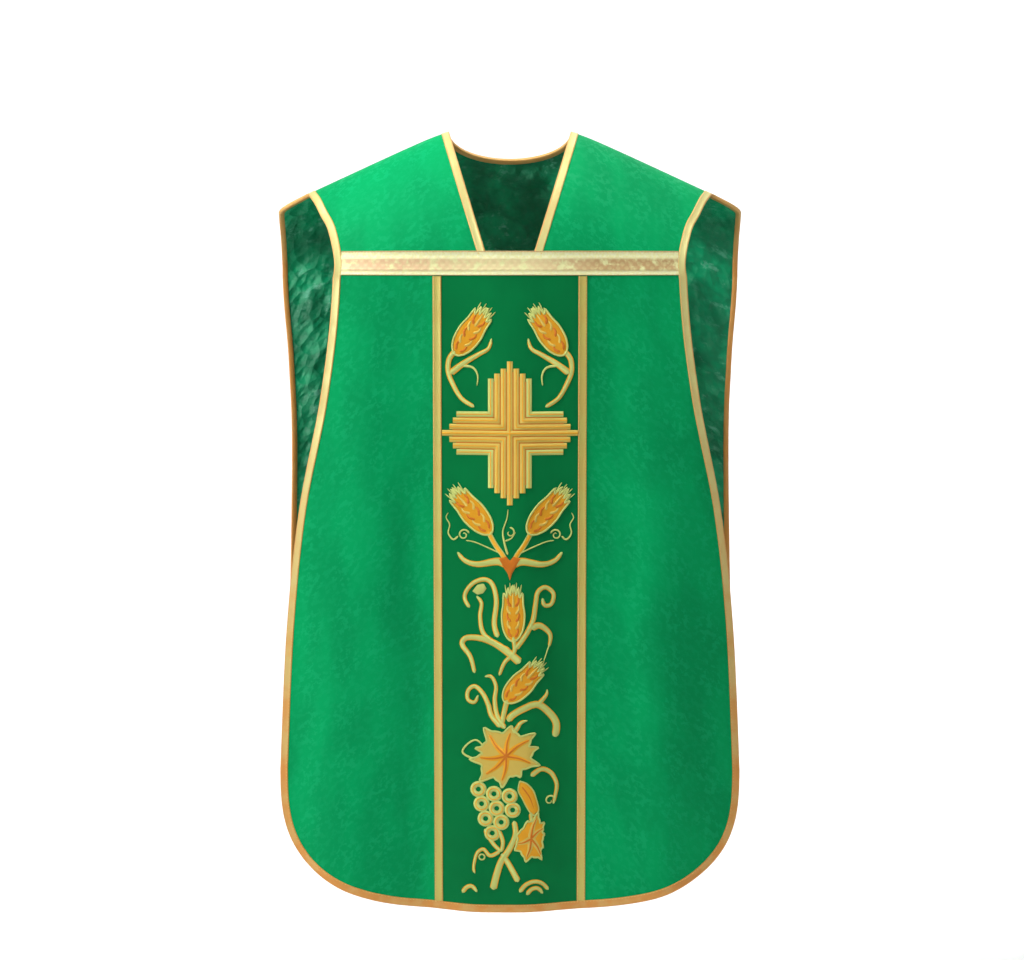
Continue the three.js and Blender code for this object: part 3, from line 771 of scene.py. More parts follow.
class Finish:
    """A material and the nodes that it is made of."""

    def __init__(self, name):
        self.material = bpy.data.materials.new(name)
        self.material.use_nodes = True
        self.tree = self.material.node_tree
        self.tree.nodes.clear()

    def node(self, kind, settings=None, sockets=None, out=0):
        """Adds a node: its settings first, then the values or links of its sockets."""
        node = self.tree.nodes.new(kind)
        for key, value in (settings or {}).items():
            if key == "stops":
                self.set_stops(node.color_ramp, value)
            else:
                setattr(node, key, value)
        for key, value in (sockets or {}).items():
            if isinstance(value, Signal):
                self.tree.links.new(value.socket, node.inputs[key])
            else:
                node.inputs[key].default_value = value
        return Signal(self, node.outputs[out]) if len(node.outputs) else node

    def set_stops(self, ramp, stops):
        while len(ramp.elements) > 1:
            ramp.elements.remove(ramp.elements[-1])
        ramp.elements[0].position = stops[0][0]
        ramp.elements[0].color = stops[0][1]
        for place, colour in stops[1:]:
            ramp.elements.new(place).color = colour

    def place(self, scale_x=1.0, scale_y=1.0, turn=0.0):
        """The flat place on the cloth in metres, scaled and turned."""
        flat = self.node("ShaderNodeUVMap", {"uv_map": "cloth"})
        return self.node("ShaderNodeMapping", {}, {
            "Vector": flat, "Scale": (scale_x, scale_y, 1), "Rotation": (0, 0, turn)})

    def noise(self, size, detail=2.0, roughness=0.5, stretch=1.0):
        """Noise with humps of a size in metres, longer across the cloth by stretch."""
        return self.node("ShaderNodeTexNoise", {"noise_dimensions": "2D"}, {
            "Vector": self.place(1 / (size * stretch), 1 / size), "Scale": 1.0,
            "Detail": detail, "Roughness": roughness})

    def crumple(self, size):
        """Facets between creases, of a size in metres."""
        return self.node("ShaderNodeTexVoronoi", {"voronoi_dimensions": "2D"}, {
            "Vector": self.place(1 / size, 1 / size), "Scale": 1.0})

    def waves(self, pitch, axis="X", turn=0.0, distortion=0.0):
        """Even ribs of a pitch in metres."""
        return self.node("ShaderNodeTexWave", {"wave_type": "BANDS", "bands_direction": axis}, {
            "Vector": self.place(turn=turn), "Scale": 1 / pitch * math.pi / 10,
            "Distortion": distortion}, out=1)

    def step(self, value, low, high):
        """0 below low and 1 above high."""
        return self.node("ShaderNodeMapRange", {"clamp": True, "interpolation_type": "SMOOTHSTEP"}, {
            "Value": value, "From Min": low, "From Max": high})

    def mix(self, share, first, second):
        return self.node("ShaderNodeMix", {"data_type": "RGBA"}, {
            0: share, 6: with_alpha(first), 7: with_alpha(second)}, out=2)

    def bump(self, height, depth, strength=1.0):
        return self.node("ShaderNodeBump", {}, {
            "Height": height, "Distance": depth, "Strength": strength})

    def along_and_across(self):
        """The flat place's two parts: metres along a trim and across it."""
        along = self.node("ShaderNodeSeparateXYZ", {}, {0: self.place()})
        return along, Signal(self, along.socket.node.outputs[1])

    def surface(self, **sockets):
        shader = self.node("ShaderNodeBsdfPrincipled", {}, {
            key.replace("_", " "): value for key, value in sockets.items()})
        self.node("ShaderNodeOutputMaterial", {}, {"Surface": shader})
        return self.material


def with_alpha(colour):
    return colour if isinstance(colour, Signal) else (*colour, 1.0)


def toned(colour, share):
    """A colour made darker, or lighter up to full light."""
    return [min(1, share * part) for part in colour]


def halfway(first, second):
    """The colour halfway between two others."""
    return [0.5 * (a + b) for a, b in zip(first, second)]


GREEN_SHEEN = {"Sheen_Roughness": 0.4, "Sheen_Tint": (0.1, 0.9, 0.5, 1)}


@functools.lru_cache
def field_damask():
    """Green damask: a leafy woven figure on a ribbed ground, with a soft sheen."""
    colours = bpy.context.scene.chasuble_colours
    finish = Finish("field_damask")
    leaf = finish.noise(0.0085, 3.0, 0.62)
    vein = finish.noise(0.0030, 1.0, 0.5)
    cloud = finish.step(finish.noise(0.16, 2.0, 0.5, 0.45), 0.32, 0.68)
    ogee_across = finish.waves(0.052)
    ogee_down = finish.waves(0.070, "Y")
    ogee = finish.step(ogee_across + ogee_down, 0.85, 1.25)
    figure = finish.step(leaf + 0.16 * vein, 0.56, 0.66) * (0.45 + 0.55 * ogee)
    weave = finish.waves(0.0011, turn=0.6) * 0.5 + finish.waves(0.0009, "Y") * 0.5
    ground = finish.mix(cloud, toned(colours.field, 0.88), toned(colours.field, 1.06))
    recoloured = finish.mix(figure * 0.30, ground, colours.figure)
    coloured = finish.mix(weave * 0.14, recoloured, (0.0, 0.06, 0.03))
    height = 0.30 * weave + 0.55 * figure + 0.25 * vein
    return finish.surface(
        Base_Color=coloured, Roughness=0.62 - 0.16 * figure, Sheen_Weight=0.10, **GREEN_SHEEN,
        Specular_IOR_Level=0.05, Normal=finish.bump(height, 0.00028, 0.7))


@functools.lru_cache
def column_damask():
    """The darker satin of the column, with fine upright ribs."""
    colours = bpy.context.scene.chasuble_colours
    finish = Finish("column_damask")
    ribs = finish.waves(0.0016)
    slub = finish.noise(0.004, 2.0, 0.5, 0.35)
    cloud = finish.noise(0.09, 2.0, 0.5)
    ground = finish.mix(cloud, toned(colours.column, 0.86), toned(colours.column, 1.16))
    coloured = finish.mix(ribs * 0.16, ground, (0.0, 0.05, 0.025))
    return finish.surface(
        Base_Color=coloured, Roughness=0.42 + 0.14 * slub, Sheen_Weight=0.08, **GREEN_SHEEN,
        Specular_IOR_Level=0.06, Normal=finish.bump(0.6 * ribs + 0.4 * slub, 0.0002, 0.6))


@functools.lru_cache
def lining_satin():
    """Glossy dark green satin, crinkled from wear, with painted light and shade: lit and shaded patches,
    painted shade on the crease ridges and painted glints.
    """
    colours = bpy.context.scene.chasuble_colours
    finish = Finish("lining_satin")
    broad, small = finish.crumple(0.036), finish.crumple(0.015)
    fine = finish.noise(0.004, 3.0, 0.6)
    # Painted light and shade: this mask picks lit and shaded patches of the satin.
    shade = finish.step(finish.noise(0.060, 3.0, 0.6), 0.30, 0.70)
    # Painted highlights: light specks for the glints on the crinkles, gathered in patches by the mask after
    # it.
    painted_glints = finish.step(finish.noise(0.017, 4.0, 0.68, 1.4), 0.55, 0.70)
    painted_light_mask = finish.step(finish.noise(0.085, 2.0, 0.5), 0.42, 0.64)
    weft = finish.waves(0.0007, "Y")
    cloth = finish.mix(shade, toned(colours.lining, 0.72), toned(colours.lining, 1.30))
    # Painted shade on the ridges of the broad crumple.
    painted_crease_shade = finish.mix(finish.step(broad, 0.50, 0.85) * 0.5, cloth, toned(colours.lining, 0.45))
    coloured = finish.mix(painted_glints * (0.12 + 0.45 * painted_light_mask), painted_crease_shade, (0.15, 0.50, 0.33))
    height = broad + 0.5 * small + 0.12 * fine + 0.02 * weft
    return finish.surface(
        Base_Color=coloured, Roughness=0.34 + 0.12 * fine, Specular_IOR_Level=0.28,
        Normal=finish.bump(height, 0.009, 0.85))


# Places along a trim beyond its whole length, so that it takes no painted shade.
NO_PAINTED_SHADE = (2.0, 3.0)
BAND_FACE_WIDTH = 37.2 * MM


def galloon(name, middle, edge, width, recoloured=NO_PAINTED_SHADE):
    """Narrow metal-thread galloon: twilled ribs, a light middle and warm selvedges.

    Painted shade turns it from its own colour to the edge's between two places along it, in metres.
    """
    finish = Finish(name)
    along, across = finish.along_and_across()
    share = across * (1 / width)
    selvedge = 1 - finish.step(share, 0.08, 0.20) * (1 - finish.step(share, 0.80, 0.92))
    ribs = finish.waves(0.0013, turn=0.7)
    pearls = finish.waves(0.0021)
    age = finish.step(finish.noise(0.05, 3.0, 0.6), 0.35, 0.7)
    # Painted shade: past the given places the trim turns to its warm edge colour, and its mottling deepens.
    painted_light_mask = finish.step(along, *recoloured) * 0.75
    ground = finish.mix(selvedge * 0.7, middle, edge)
    warm = finish.mix(age * (0.22 + 0.3 * painted_light_mask) + painted_light_mask, ground, edge)
    coloured = finish.mix(ribs * 0.22, warm, toned(edge, 0.55))
    return finish.surface(
        Base_Color=coloured, Roughness=0.40 + 0.14 * age, Metallic=0.15 + 0.2 * ribs,
        Normal=finish.bump(ribs * 0.6 + pearls * selvedge * 0.7, 0.00035, 0.8))


@functools.lru_cache
def braid_galloon():
    colours = bpy.context.scene.chasuble_colours
    return galloon("gold_braid", colours.gold, colours.copper, 13 * MM)


@functools.lru_cache
def binding_galloon(stretch):
    """The binding's gold: light round the neck and arm fronts, turned warm by painted shade behind and
    towards the hems.
    """
    colours = bpy.context.scene.chasuble_colours
    # Where painted shade turns each stretch of binding warm, in metres along it.
    recoloured = {"neck": NO_PAINTED_SHADE, "armhole": (0.26, 0.34), "front": (0.1, 0.95), "back": (-0.5, 0.2)}
    light = halfway(colours.gold, colours.pale_gold)
    return galloon(f"gold_binding_{stretch}", light, colours.copper, 12 * MM, recoloured[stretch])


@functools.lru_cache
def wide_galloon():
    """Wide galloon: light borders round a rosy middle of small lozenges."""
    colours = bpy.context.scene.chasuble_colours
    finish = Finish("wide_galloon")
    along, across = finish.along_and_across()
    share = across * (1 / BAND_FACE_WIDTH)
    border = 1 - finish.step(share, 0.20, 0.36) * (1 - finish.step(share, 0.68, 0.84))
    selvedge = finish.step(share, 0.94, 0.97) + 1 - finish.step(share, 0.055, 0.085)
    lozenge = finish.waves(0.0085, turn=0.785) * finish.waves(0.0085, "Y", turn=0.785)
    speckle = finish.noise(0.0035, 2.0, 0.6)
    blot = finish.noise(0.014, 3.0, 0.6)
    ribs = finish.waves(0.0012)
    faded = 1 - finish.step(along, 0.07, 0.22)
    browned = finish.step(along, 0.25, 0.38)
    warm = finish.step(blot, 0.30, 0.52) * (0.34 + 0.32 * faded + 0.48 * browned)
    rosy = finish.mix(browned, colours.rose, colours.chestnut)
    middle = finish.mix(warm, colours.pale_gold, rosy)
    raised = finish.step(lozenge + 0.3 * speckle, 0.25, 0.5)
    figured = finish.mix(raised * 0.20, middle, colours.pale_gold)
    light = finish.mix(finish.step(speckle, 0.42, 0.62) * 0.4, colours.pale_gold, (0.72, 0.76, 0.58))
    ground = finish.mix(border, figured, light)
    edged = finish.mix(selvedge * 0.8, ground, toned(colours.copper, 0.42))
    coloured = finish.mix(ribs * 0.15, edged, (0.35, 0.25, 0.10))
    return finish.surface(
        Base_Color=coloured, Roughness=0.45 + 0.12 * speckle, Metallic=0.12,
        Normal=finish.bump(ribs * 0.4 + lozenge * 0.8, 0.0004, 0.8))


def thread(name, colour):
    """Silk or metal thread laid side by side across each stroke."""
    finish = Finish(name)
    lay = finish.waves(0.00085, distortion=1.5)
    shade = finish.noise(0.006, 2.0, 0.6)
    coloured = finish.mix(lay * 0.16 + shade * 0.12, colour, toned(colour, 0.52))
    return finish.surface(
        Base_Color=coloured, Roughness=0.44, Metallic=0.18, Specular_IOR_Level=0.2,
        Normal=finish.bump(lay, 0.0003, 0.8))


@functools.lru_cache
def embroidery_threads():
    """The four threads of the embroidery, in the order of the tones."""
    colours = bpy.context.scene.chasuble_colours
    straw = halfway(colours.thread, colours.pale_thread)
    return [thread("gold_thread", colours.thread), thread("deep_thread", colours.deep_thread),
            thread("pale_thread", colours.pale_thread), thread("straw_thread", straw)]


@functools.lru_cache
def sewing_thread():
    return thread("sewing_thread", srgb(214, 190, 120))


STUDIO_GLOW = 0.05


@functools.lru_cache
def studio_white():
    colours = bpy.context.scene.chasuble_colours
    finish = Finish("studio_white")
    mottle = finish.node("ShaderNodeTexNoise", {}, {"Scale": 3.0, "Detail": 2.0})
    paint = finish.mix(mottle, toned(colours.stage, 0.97), colours.stage)
    return finish.surface(
        Base_Color=paint, Roughness=0.85, Emission_Color=(1, 1, 1, 1), Emission_Strength=STUDIO_GLOW)


# ------------------------------------------------------------------ joining pieces to the frame


def follow(piece, body, nodes):
    """Makes a piece move with the yoke, or bakes its place on a panel, and hides the imported parts that it
    stands for.
    """
    if body == "yoke":
        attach(piece, "yoke")
    else:
        top = FRONT_HINGE_TOP if body == "front_panel" else BACK_HINGE_TOP
        top - HINGE_LENGTH
        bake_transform(piece)
    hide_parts(*nodes)


def declare_sheet(piece):
    """Reckons the flat size that a hung layer of cloth was cut to, but states it nowhere."""
    width, length, area = piece["cut_width"], piece["cut_length"], piece["cut_area"]
    length = max(length, area / width)


# Tie tabs: their middles are this far to each side and below the ridge at the neck, and the lining
# lies calm round them, in an oval about a place so far down its path.
TAB_SPREAD = 150 * MM
TAB_DROP = 420 * MM
TAB_WIDTH = 26 * MM
TAB_HEIGHT = 40 * MM
CALM_PLACE = 575 * MM
CALM_ACROSS = 0.04
CALM_DOWN = 0.06


def crinkle(x, path, room):
    """How far the lining puckers away from the cloth, in metres, flat along its rims."""
    u, v = x, garment().laid_length(x, path)
    broad = 1 - np.abs(soft_noise(u / 0.046 + 3, v / 0.062 + 7, GRAIN_SEED + 2))
    small = 1 - np.abs(soft_noise(u / 0.021 + v / 0.06 + 13, v / 0.027 + 5, GRAIN_SEED + 3))
    beside, below = np.abs(x) - TAB_SPREAD, path * PATH_STEP - CALM_PLACE
    from_tab = np.hypot(beside / CALM_ACROSS, below / CALM_DOWN)
    calm = smoothstep(room, PUCKER_START, PUCKER_FULL) * smoothstep(from_tab, 0.6, 1.3)
    return -calm * (BROAD_PUCKER * broad**3 + SMALL_PUCKER * small**3)


class CHASUBLE_OT_cut_damask(bpy.types.Operator):
    """Cuts the shoulder pieces, the fields and the columns from damask"""

    bl_idname = "chasuble.cut_damask"
    bl_label = "Damask"

    def execute(self, context):
        half = garment().column
        left, right, middle = (half, FAR), (-FAR, -half), (-half, half)
        front = (-FAR, FRONT_JOINT_PATH)
        over = (FRONT_JOINT_PATH, SHOULDER_SEAM_PATH)
        back = (SHOULDER_SEAM_PATH, FAR)
        cuts = [
            ("shoulder_left", (0, FAR), over, "yoke", ["left_shoulder_cloth"]),
            ("shoulder_right", (-FAR, 0), over, "yoke", ["right_shoulder_cloth"]),
            ("front_left", left, front, "front_panel", ["front_left_cloth"]),
            ("front_right", right, front, "front_panel", ["front_right_cloth"]),
            ("front_column", middle, front, "front_panel", ["front_column_cloth", "front_interlining"]),
            ("back_left", left, back, "back_panel", ["back_left_cloth", "upper_back_left_cloth"]),
            ("back_right", right, back, "back_panel", ["back_right_cloth", "upper_back_right_cloth"]),
            ("back_column", middle, back, "back_panel",
             ["back_column_cloth", "upper_back_column_cloth", "back_interlining"]),
        ]
        damasks = {"field_damask": field_damask(), "column_damask": column_damask()}
        for name, widths, paths, body, nodes in cuts:
            slot = "column_damask" if widths == middle else "field_damask"
            piece = cut_cloth(f"{name}_damask", widths, paths, CLOTH_LAYER, damasks[slot])
            follow(piece, body, nodes)
            declare_sheet(piece)
        return {"FINISHED"}


class CHASUBLE_OT_line(bpy.types.Operator):
    """Lines the front, and the yoke and back in one piece"""

    bl_idname = "chasuble.line"
    bl_label = "Lining"

    def execute(self, context):
        linings = [
            ("front", (-FAR, -BEND_PATH), ["front_lining"]),
            ("back", (-BEND_PATH, FAR), ["yoke_lining", "back_lining", "yoke_interlining"]),
        ]
        for side, paths, nodes in linings:
            piece = cut_cloth(
                f"{side}_lining_satin", (-FAR, FAR), paths, LINING_LAYER, lining_satin(), crinkle)
            follow(piece, f"{side}_panel", nodes)
            declare_sheet(piece)
        return {"FINISHED"}


# Sections of the trims, as (inset, lift) in millimetres round a closed loop.
BINDING_SECTION = [
    (11.5, 0.15), (11.3, 0.75), (10.6, 1.0), (9.8, 1.1), (9.0, 0.85), (5.75, 0.98), (2.5, 0.85),
    (1.7, 1.1), (0.8, 1.0), (0.2, 0.5), (0.0, -0.4), (0.0, -2.9), (0.2, -3.9), (0.9, -4.3),
    (3.9, -4.4), (6.9, -4.35), (7.4, -4.0), (7.3, -3.6), (2.0, -3.5), (1.5, -1.5), (2.0, 0.12),
]
BRAID_SECTION = [
    (6.0, 0.1), (5.9, 0.7), (5.3, 1.0), (4.5, 1.1), (3.8, 0.82), (0.0, 0.96), (-3.8, 0.82),
    (-4.5, 1.1), (-5.3, 1.0), (-5.9, 0.7), (-6.0, 0.1),
]
BAND_SECTION = [
    (17.75, 0.1), (17.7, 0.8), (17.0, 1.1), (15.4, 1.1), (14.6, 0.8), (9.0, 0.85), (8.0, 1.05),
    (6.6, 1.05), (5.8, 0.8), (0.0, 0.9), (-5.8, 0.8), (-6.6, 1.05), (-8.0, 1.05), (-9.0, 0.85),
    (-14.6, 0.8), (-15.4, 1.1), (-17.0, 1.1), (-17.7, 0.8), (-17.75, 0.1),
]


# How far below the joint under the chest band the front braids begin, in units of the path.
BAND_LAP = 3


class CHASUBLE_OT_sew_trims(bpy.types.Operator):
    """Sews on the bindings, the braids and the chest band"""

    bl_idname = "chasuble.sew_trims"
    bl_label = "Trims"

    def execute(self, context):
        cloth = garment()
        braid = [braid_galloon(), sewing_thread()]
        front_rim = cloth.both_sides(cloth.panel_rim(cloth.front, 0))[::-1]
        back_rim = cloth.both_sides(cloth.panel_rim(cloth.back, 0))
        left_arm = cloth.armhole_rim(0)
        right_arm = (left_arm * (-1, 1))[::-1]
        neck = cloth.both_sides(cloth.neck_rim(0))[::-1]
        sewn = [(10.2, 1.08)]
        runs = [
            ("front_edge_galloon", front_rim, "front_panel", "front_edge_binding", "front", "both"),
            ("back_edge_galloon", back_rim, "back_panel", "back_edge_binding", "back", "both"),
            ("armhole_left_galloon", left_arm, "yoke", "left_armhole_binding", "armhole", "start"),
            ("armhole_right_galloon", right_arm, "yoke", "right_armhole_binding", "armhole", "end"),
            ("neck_galloon", neck, "yoke", "neck_binding", "neck", "start"),
        ]
        for name, line, body, node, stretch, measured in runs:
            materials = [binding_galloon(stretch), sewing_thread()]
            piece = sew_trim(name, line, BINDING_SECTION, sewn, materials, measured)
            follow(piece, body, [node])
        edges = [(5.0, 1.1), (-5.0, 1.1)]
        front_hem = cloth.hem_path(cloth.front, BINDING_WIDTH)
        back_hem = cloth.hem_path(cloth.back, BINDING_WIDTH)
        for side, x in (("left", cloth.column), ("right", -cloth.column)):
            line = np.array([(x, front_hem), (x, FRONT_JOINT_PATH - BAND_LAP)])
            piece = sew_trim(f"front_{side}_galloon", line, BRAID_SECTION, edges, braid)
            follow(piece, "front_panel", [f"front_{side}_braid"])
            line = np.array([(x, SHOULDER_SEAM_PATH), (x, back_hem)])
            piece = sew_trim(f"back_{side}_galloon", line, BRAID_SECTION, edges, braid)
            follow(piece, "back_panel", [f"back_{side}_braid", f"upper_back_{side}_braid"])
        self.sew_band(cloth)
        return {"FINISHED"}

    def sew_band(self, cloth):
        sizes = cloth.sizes
        reach = sizes.chest_half_width - BINDING_WIDTH
        x = np.linspace(-reach, reach, 90)
        middle = -(sizes.band_top + sizes.front_bend) / 2
        line = np.stack([x, cloth.path_at(x, middle, -1)], 1)
        band = sew_trim("chest_galloon", line, BAND_SECTION, [(16.2, 1.1), (-16.2, 1.1)],
                        [wide_galloon(), sewing_thread()])
        follow(band, "yoke", ["chest_band"])


class CHASUBLE_OT_set_tabs(bpy.types.Operator):
    """Sews the two tie tabs to the lining of the back"""

    bl_idname = "chasuble.set_tabs"
    bl_label = "Tie tabs"

    def execute(self, context):
        cloth = garment()
        satin = [lining_satin(), sewing_thread()]
        half = TAB_WIDTH / 2 / MM
        section = [(half, -3.5), (half, -4.2), (half - 0.6, -4.6), (0, -4.9), (0.6 - half, -4.6),
                   (-half, -4.2), (-half, -3.5)]
        top = cloth.path_down(cloth.back, TAB_DROP - TAB_HEIGHT / 2)
        bottom = cloth.path_down(cloth.back, TAB_DROP + TAB_HEIGHT / 2)
        sewn = [(half - 2, -4.7), (2 - half, -4.7)]
        for side, x in (("left", TAB_SPREAD), ("right", -TAB_SPREAD)):
            line = np.array([(x, top), (x, bottom)])
            piece = sew_trim(f"tie_tab_{side}_satin", line, section[::-1], sewn, satin)
            follow(piece, "back_panel", [f"{side}_tie_tab"])
        return {"FINISHED"}


# ------------------------------------------------------------------ embroidery

GOLD, DEEP, PALE, STRAW = 0, 1, 2, 3
DRAWN_REACH = 96 * MM
SATIN_SECTION = [(-1, 0.05), (-0.82, 0.6), (-0.38, 0.95), (0.38, 0.95), (0.82, 0.6), (1, 0.05),
                 (1, -0.3), (-1, -0.3)]
THREAD_HEIGHT = 1.1


def on_side(side, points):
    """Points drawn on the viewer's left (side 1), or their mirror image (side -1)."""
    return [(side * x, z) for x, z in points]


class Embroidery:
    """Raised threads on one panel. Places are x and z in millimetres, seen from outside."""

    def __init__(self, panel):
        self.panel = panel
        self.points, self.faces, self.uvs, self.tones = [], [], [], []

    def add(self, points, faces, uvs, tone):
        """Adds a shape whose points are x, z and lift, in millimetres."""
        first = sum(len(block) for block in self.points)
        self.points.append(np.asarray(points, float))
        self.uvs.append(np.asarray(uvs, float))
        self.faces.extend(tuple(first + i for i in face) for face in faces)
        self.tones.extend([tone] * len(faces))

    def satin(self, points, width, end_width=None, tone=GOLD, lift=0.0, height=THREAD_HEIGHT,
              smooth=True, closed=False, blunt=False):
        """A raised stroke through its points, narrowing from one width to another."""
        if smooth:
            line = evenly(smooth_curve(points, 8), 2.0)
        else:
            line = np.asarray(points, float) if closed else divided(points, 6.0)
        end_width = width if end_width is None else end_width
        if closed:
            ahead, behind = np.roll(line, -1, axis=0) - line, line - np.roll(line, 1, axis=0)
        else:
            steps = np.diff(line, axis=0)
            ahead, behind = np.concatenate([steps, steps[-1:]]), np.concatenate([steps[:1], steps])
        ahead = ahead / np.linalg.norm(ahead, axis=1, keepdims=True)
        behind = behind / np.linalg.norm(behind, axis=1, keepdims=True)
        tangent = ahead + behind
        tangent /= np.linalg.norm(tangent, axis=1, keepdims=True)
        mitre = 1 / np.clip((tangent * ahead).sum(1), 0.5, 1)
        aside = np.stack([-tangent[:, 1], tangent[:, 0]], 1)
        along = run_lengths(line)
        half = np.interp(along, [0, along[-1]], [width / 2, end_width / 2])
        if not (closed or blunt):
            to_end = np.clip(np.minimum(along, along[-1] - along) / np.maximum(half, 0.4), 0, 1)
            half = half * np.sqrt(np.clip(0.12 + to_end * (2 - to_end), 0.12, 1)) if smooth else half
        rings, uvs = [], []
        for offset, rise in SATIN_SECTION:
            place = line + aside * (offset * half * mitre)[:, None]
            raised = lift + rise * height * np.clip(half / 1.2, 0.45, 1)
            rings.append(np.column_stack([place, raised]))
            uvs.append(np.column_stack([along * MM, offset * half * MM]))
        faces = tube_faces(len(line), len(SATIN_SECTION), closed, turned=True)
        self.add(np.stack(rings, 1).reshape(-1, 3), faces, np.stack(uvs, 1).reshape(-1, 2), tone)

    def patch(self, outline, height=THREAD_HEIGHT, tone=GOLD, lift=0.0, slope=3.0):
        """A domed filling of a closed outline."""
        loop = evenly(np.concatenate([outline, outline[:1]]), 2.4)[:-1]
        fill = honeycomb(loop.min(0), loop.max(0), 2.6)
        fill = fill[inside(fill, loop)]
        fill = fill[nearest(fill, loop) > 1.3]
        flat, triangles = triangulate([], [loop], fill)
        triangles = triangles[inside(flat[triangles].mean(1), loop)]
        corners = flat[triangles]
        first, second = corners[:, 1] - corners[:, 0], corners[:, 2] - corners[:, 0]
        clockwise = first[:, 0] * second[:, 1] - first[:, 1] * second[:, 0] < 0
        triangles[clockwise] = triangles[clockwise][:, ::-1]
        share = np.clip(nearest(flat, loop) / slope, 0, 1)
        raised = lift + 0.08 + height * np.sqrt(share * (2 - share))
        top = np.column_stack([flat, raised])
        bottom = np.column_stack([flat, np.full(len(flat), lift - 0.3)])
        faces = slab_faces(triangles, len(flat))
        self.add(np.concatenate([top, bottom]), faces, np.concatenate([flat, flat]) * MM, tone)

    def ring(self, x, z, radius, width, tone=GOLD, lift=0.0):
        turn = np.linspace(0, 2 * math.pi, 21)[:-1]
        circle = np.column_stack([x + radius * np.cos(turn), z + radius * np.sin(turn)])
        self.satin(circle, width, tone=tone, lift=lift, smooth=False, closed=True)

    def finish(self, motif):
        """Lays the threads on their panel as one piece that stands for its packed motif."""
        cloth = garment()
        panel = cloth.front if self.panel == "front" else cloth.back
        across, z, lift = np.concatenate(self.points).T * MM
        across = across * (cloth.column - BRAID_WIDTH / 2) / DRAWN_REACH
        x = -panel.sign * across
        points = cloth.lifted(x, cloth.path_down(panel, -z), lift + GAP / 2)
        piece = add_mesh(f"{self.panel}_{motif}_threads", points, self.faces,
                         np.concatenate(self.uvs), embroidery_threads(), self.tones)
        follow(piece, f"{self.panel}_panel", [f"{self.panel}_{motif}"])


def between(base, tip, across, along):
    """Points given across and along an axis from base to tip, as places on the panel."""
    base, tip = np.array(base, float), np.array(tip, float)
    axis = tip - base
    side = np.array([axis[1], -axis[0]]) / np.linalg.norm(axis)
    return base + np.outer(np.asarray(along, float), axis) + np.outer(np.asarray(across, float), side)


# Half of an ear's outline from its foot to its tip, as shares of half its width and its length.
EAR_RIM = [(0.20, 0.0), (0.58, 0.08), (0.86, 0.22), (0.98, 0.38), (1.0, 0.54), (0.88, 0.72),
           (0.82, 0.94), (0.56, 0.86), (0.46, 1.04), (0.26, 0.92), (0.08, 1.09), (0.0, 0.95)]


def embroider_ear(work, base, tip, width):
    """An ear of corn in its husk: a ragged pale outline, rows of plump grains, and awns."""
    half = np.array(EAR_RIM)
    rim = np.concatenate([half, half[-2::-1] * (-1, 1)])
    outline = between(base, tip, rim[:, 0] * width / 2, rim[:, 1])
    length = float(np.linalg.norm(np.array(tip) - np.array(base)))
    work.patch(outline, height=0.7, tone=GOLD, slope=4.0)
    edge = np.concatenate([outline[1:], outline[:2]])
    work.satin(edge, 2.6, tone=PALE, lift=0.5, height=0.9, blunt=True)
    for row in range(5):
        place = 0.12 + 0.15 * row
        spread = width * 0.24 * math.sin(math.pi * (0.22 + 0.12 * row)) ** 0.5
        for side in (-1, 1):
            across = [side * spread * 0.45, side * spread * 1.05, side * spread]
            grain = between(base, tip, across, [place - 0.04, place + 0.05, place + 0.14])
            tone = DEEP if (row + side) % 2 else STRAW
            work.satin(grain, 4.6, 2.4, tone=tone, lift=0.45, height=0.9)
    crown = between(base, tip, [0, 0, 0], [0.66, 0.80, 0.94])
    work.satin(crown, 4.4, 1.8, tone=STRAW, lift=0.5, height=0.9)
    for awn in (-1, -0.4, 0.4, 1):
        run = between(base, tip, [awn * width * 0.26, awn * width * 0.32, awn * width * 0.36],
                      [0.88, 1.0, 1.03 + (11 - 5 * abs(awn)) / length])
        work.satin(run, 2.6, 1.0, tone=PALE)


STROKE_FULLNESS = 1.34


def couched(work, points, width, end_width, tone=PALE):
    """A stroke of thread between two fine cords of the other tone."""
    width, end_width = STROKE_FULLNESS * width, STROKE_FULLNESS * end_width
    work.satin(points, width, end_width, tone=tone)
    line = evenly(smooth_curve(points, 8), 2.0)
    forward = np.gradient(line, axis=0)
    forward /= np.linalg.norm(forward, axis=1, keepdims=True)
    aside = np.stack([-forward[:, 1], forward[:, 0]], 1)
    half = np.linspace(width, end_width, len(line))[:, None] / 2
    for side in (-1, 1):
        cord = (line + side * aside * half)[1:-1]
        cord = cord[::2] if len(cord) > 8 else cord
        if len(cord) > 2:
            work.satin(cord, 1.7, 1.3, tone=GOLD if tone == PALE else PALE, lift=0.1)


CROSS_MIDDLE = -426
CROSS_PITCH = 8.9
UPRIGHT_BARS = [101, 91, 84, 77]
LEVEL_BARS = [95.5, 85, 80, 75]


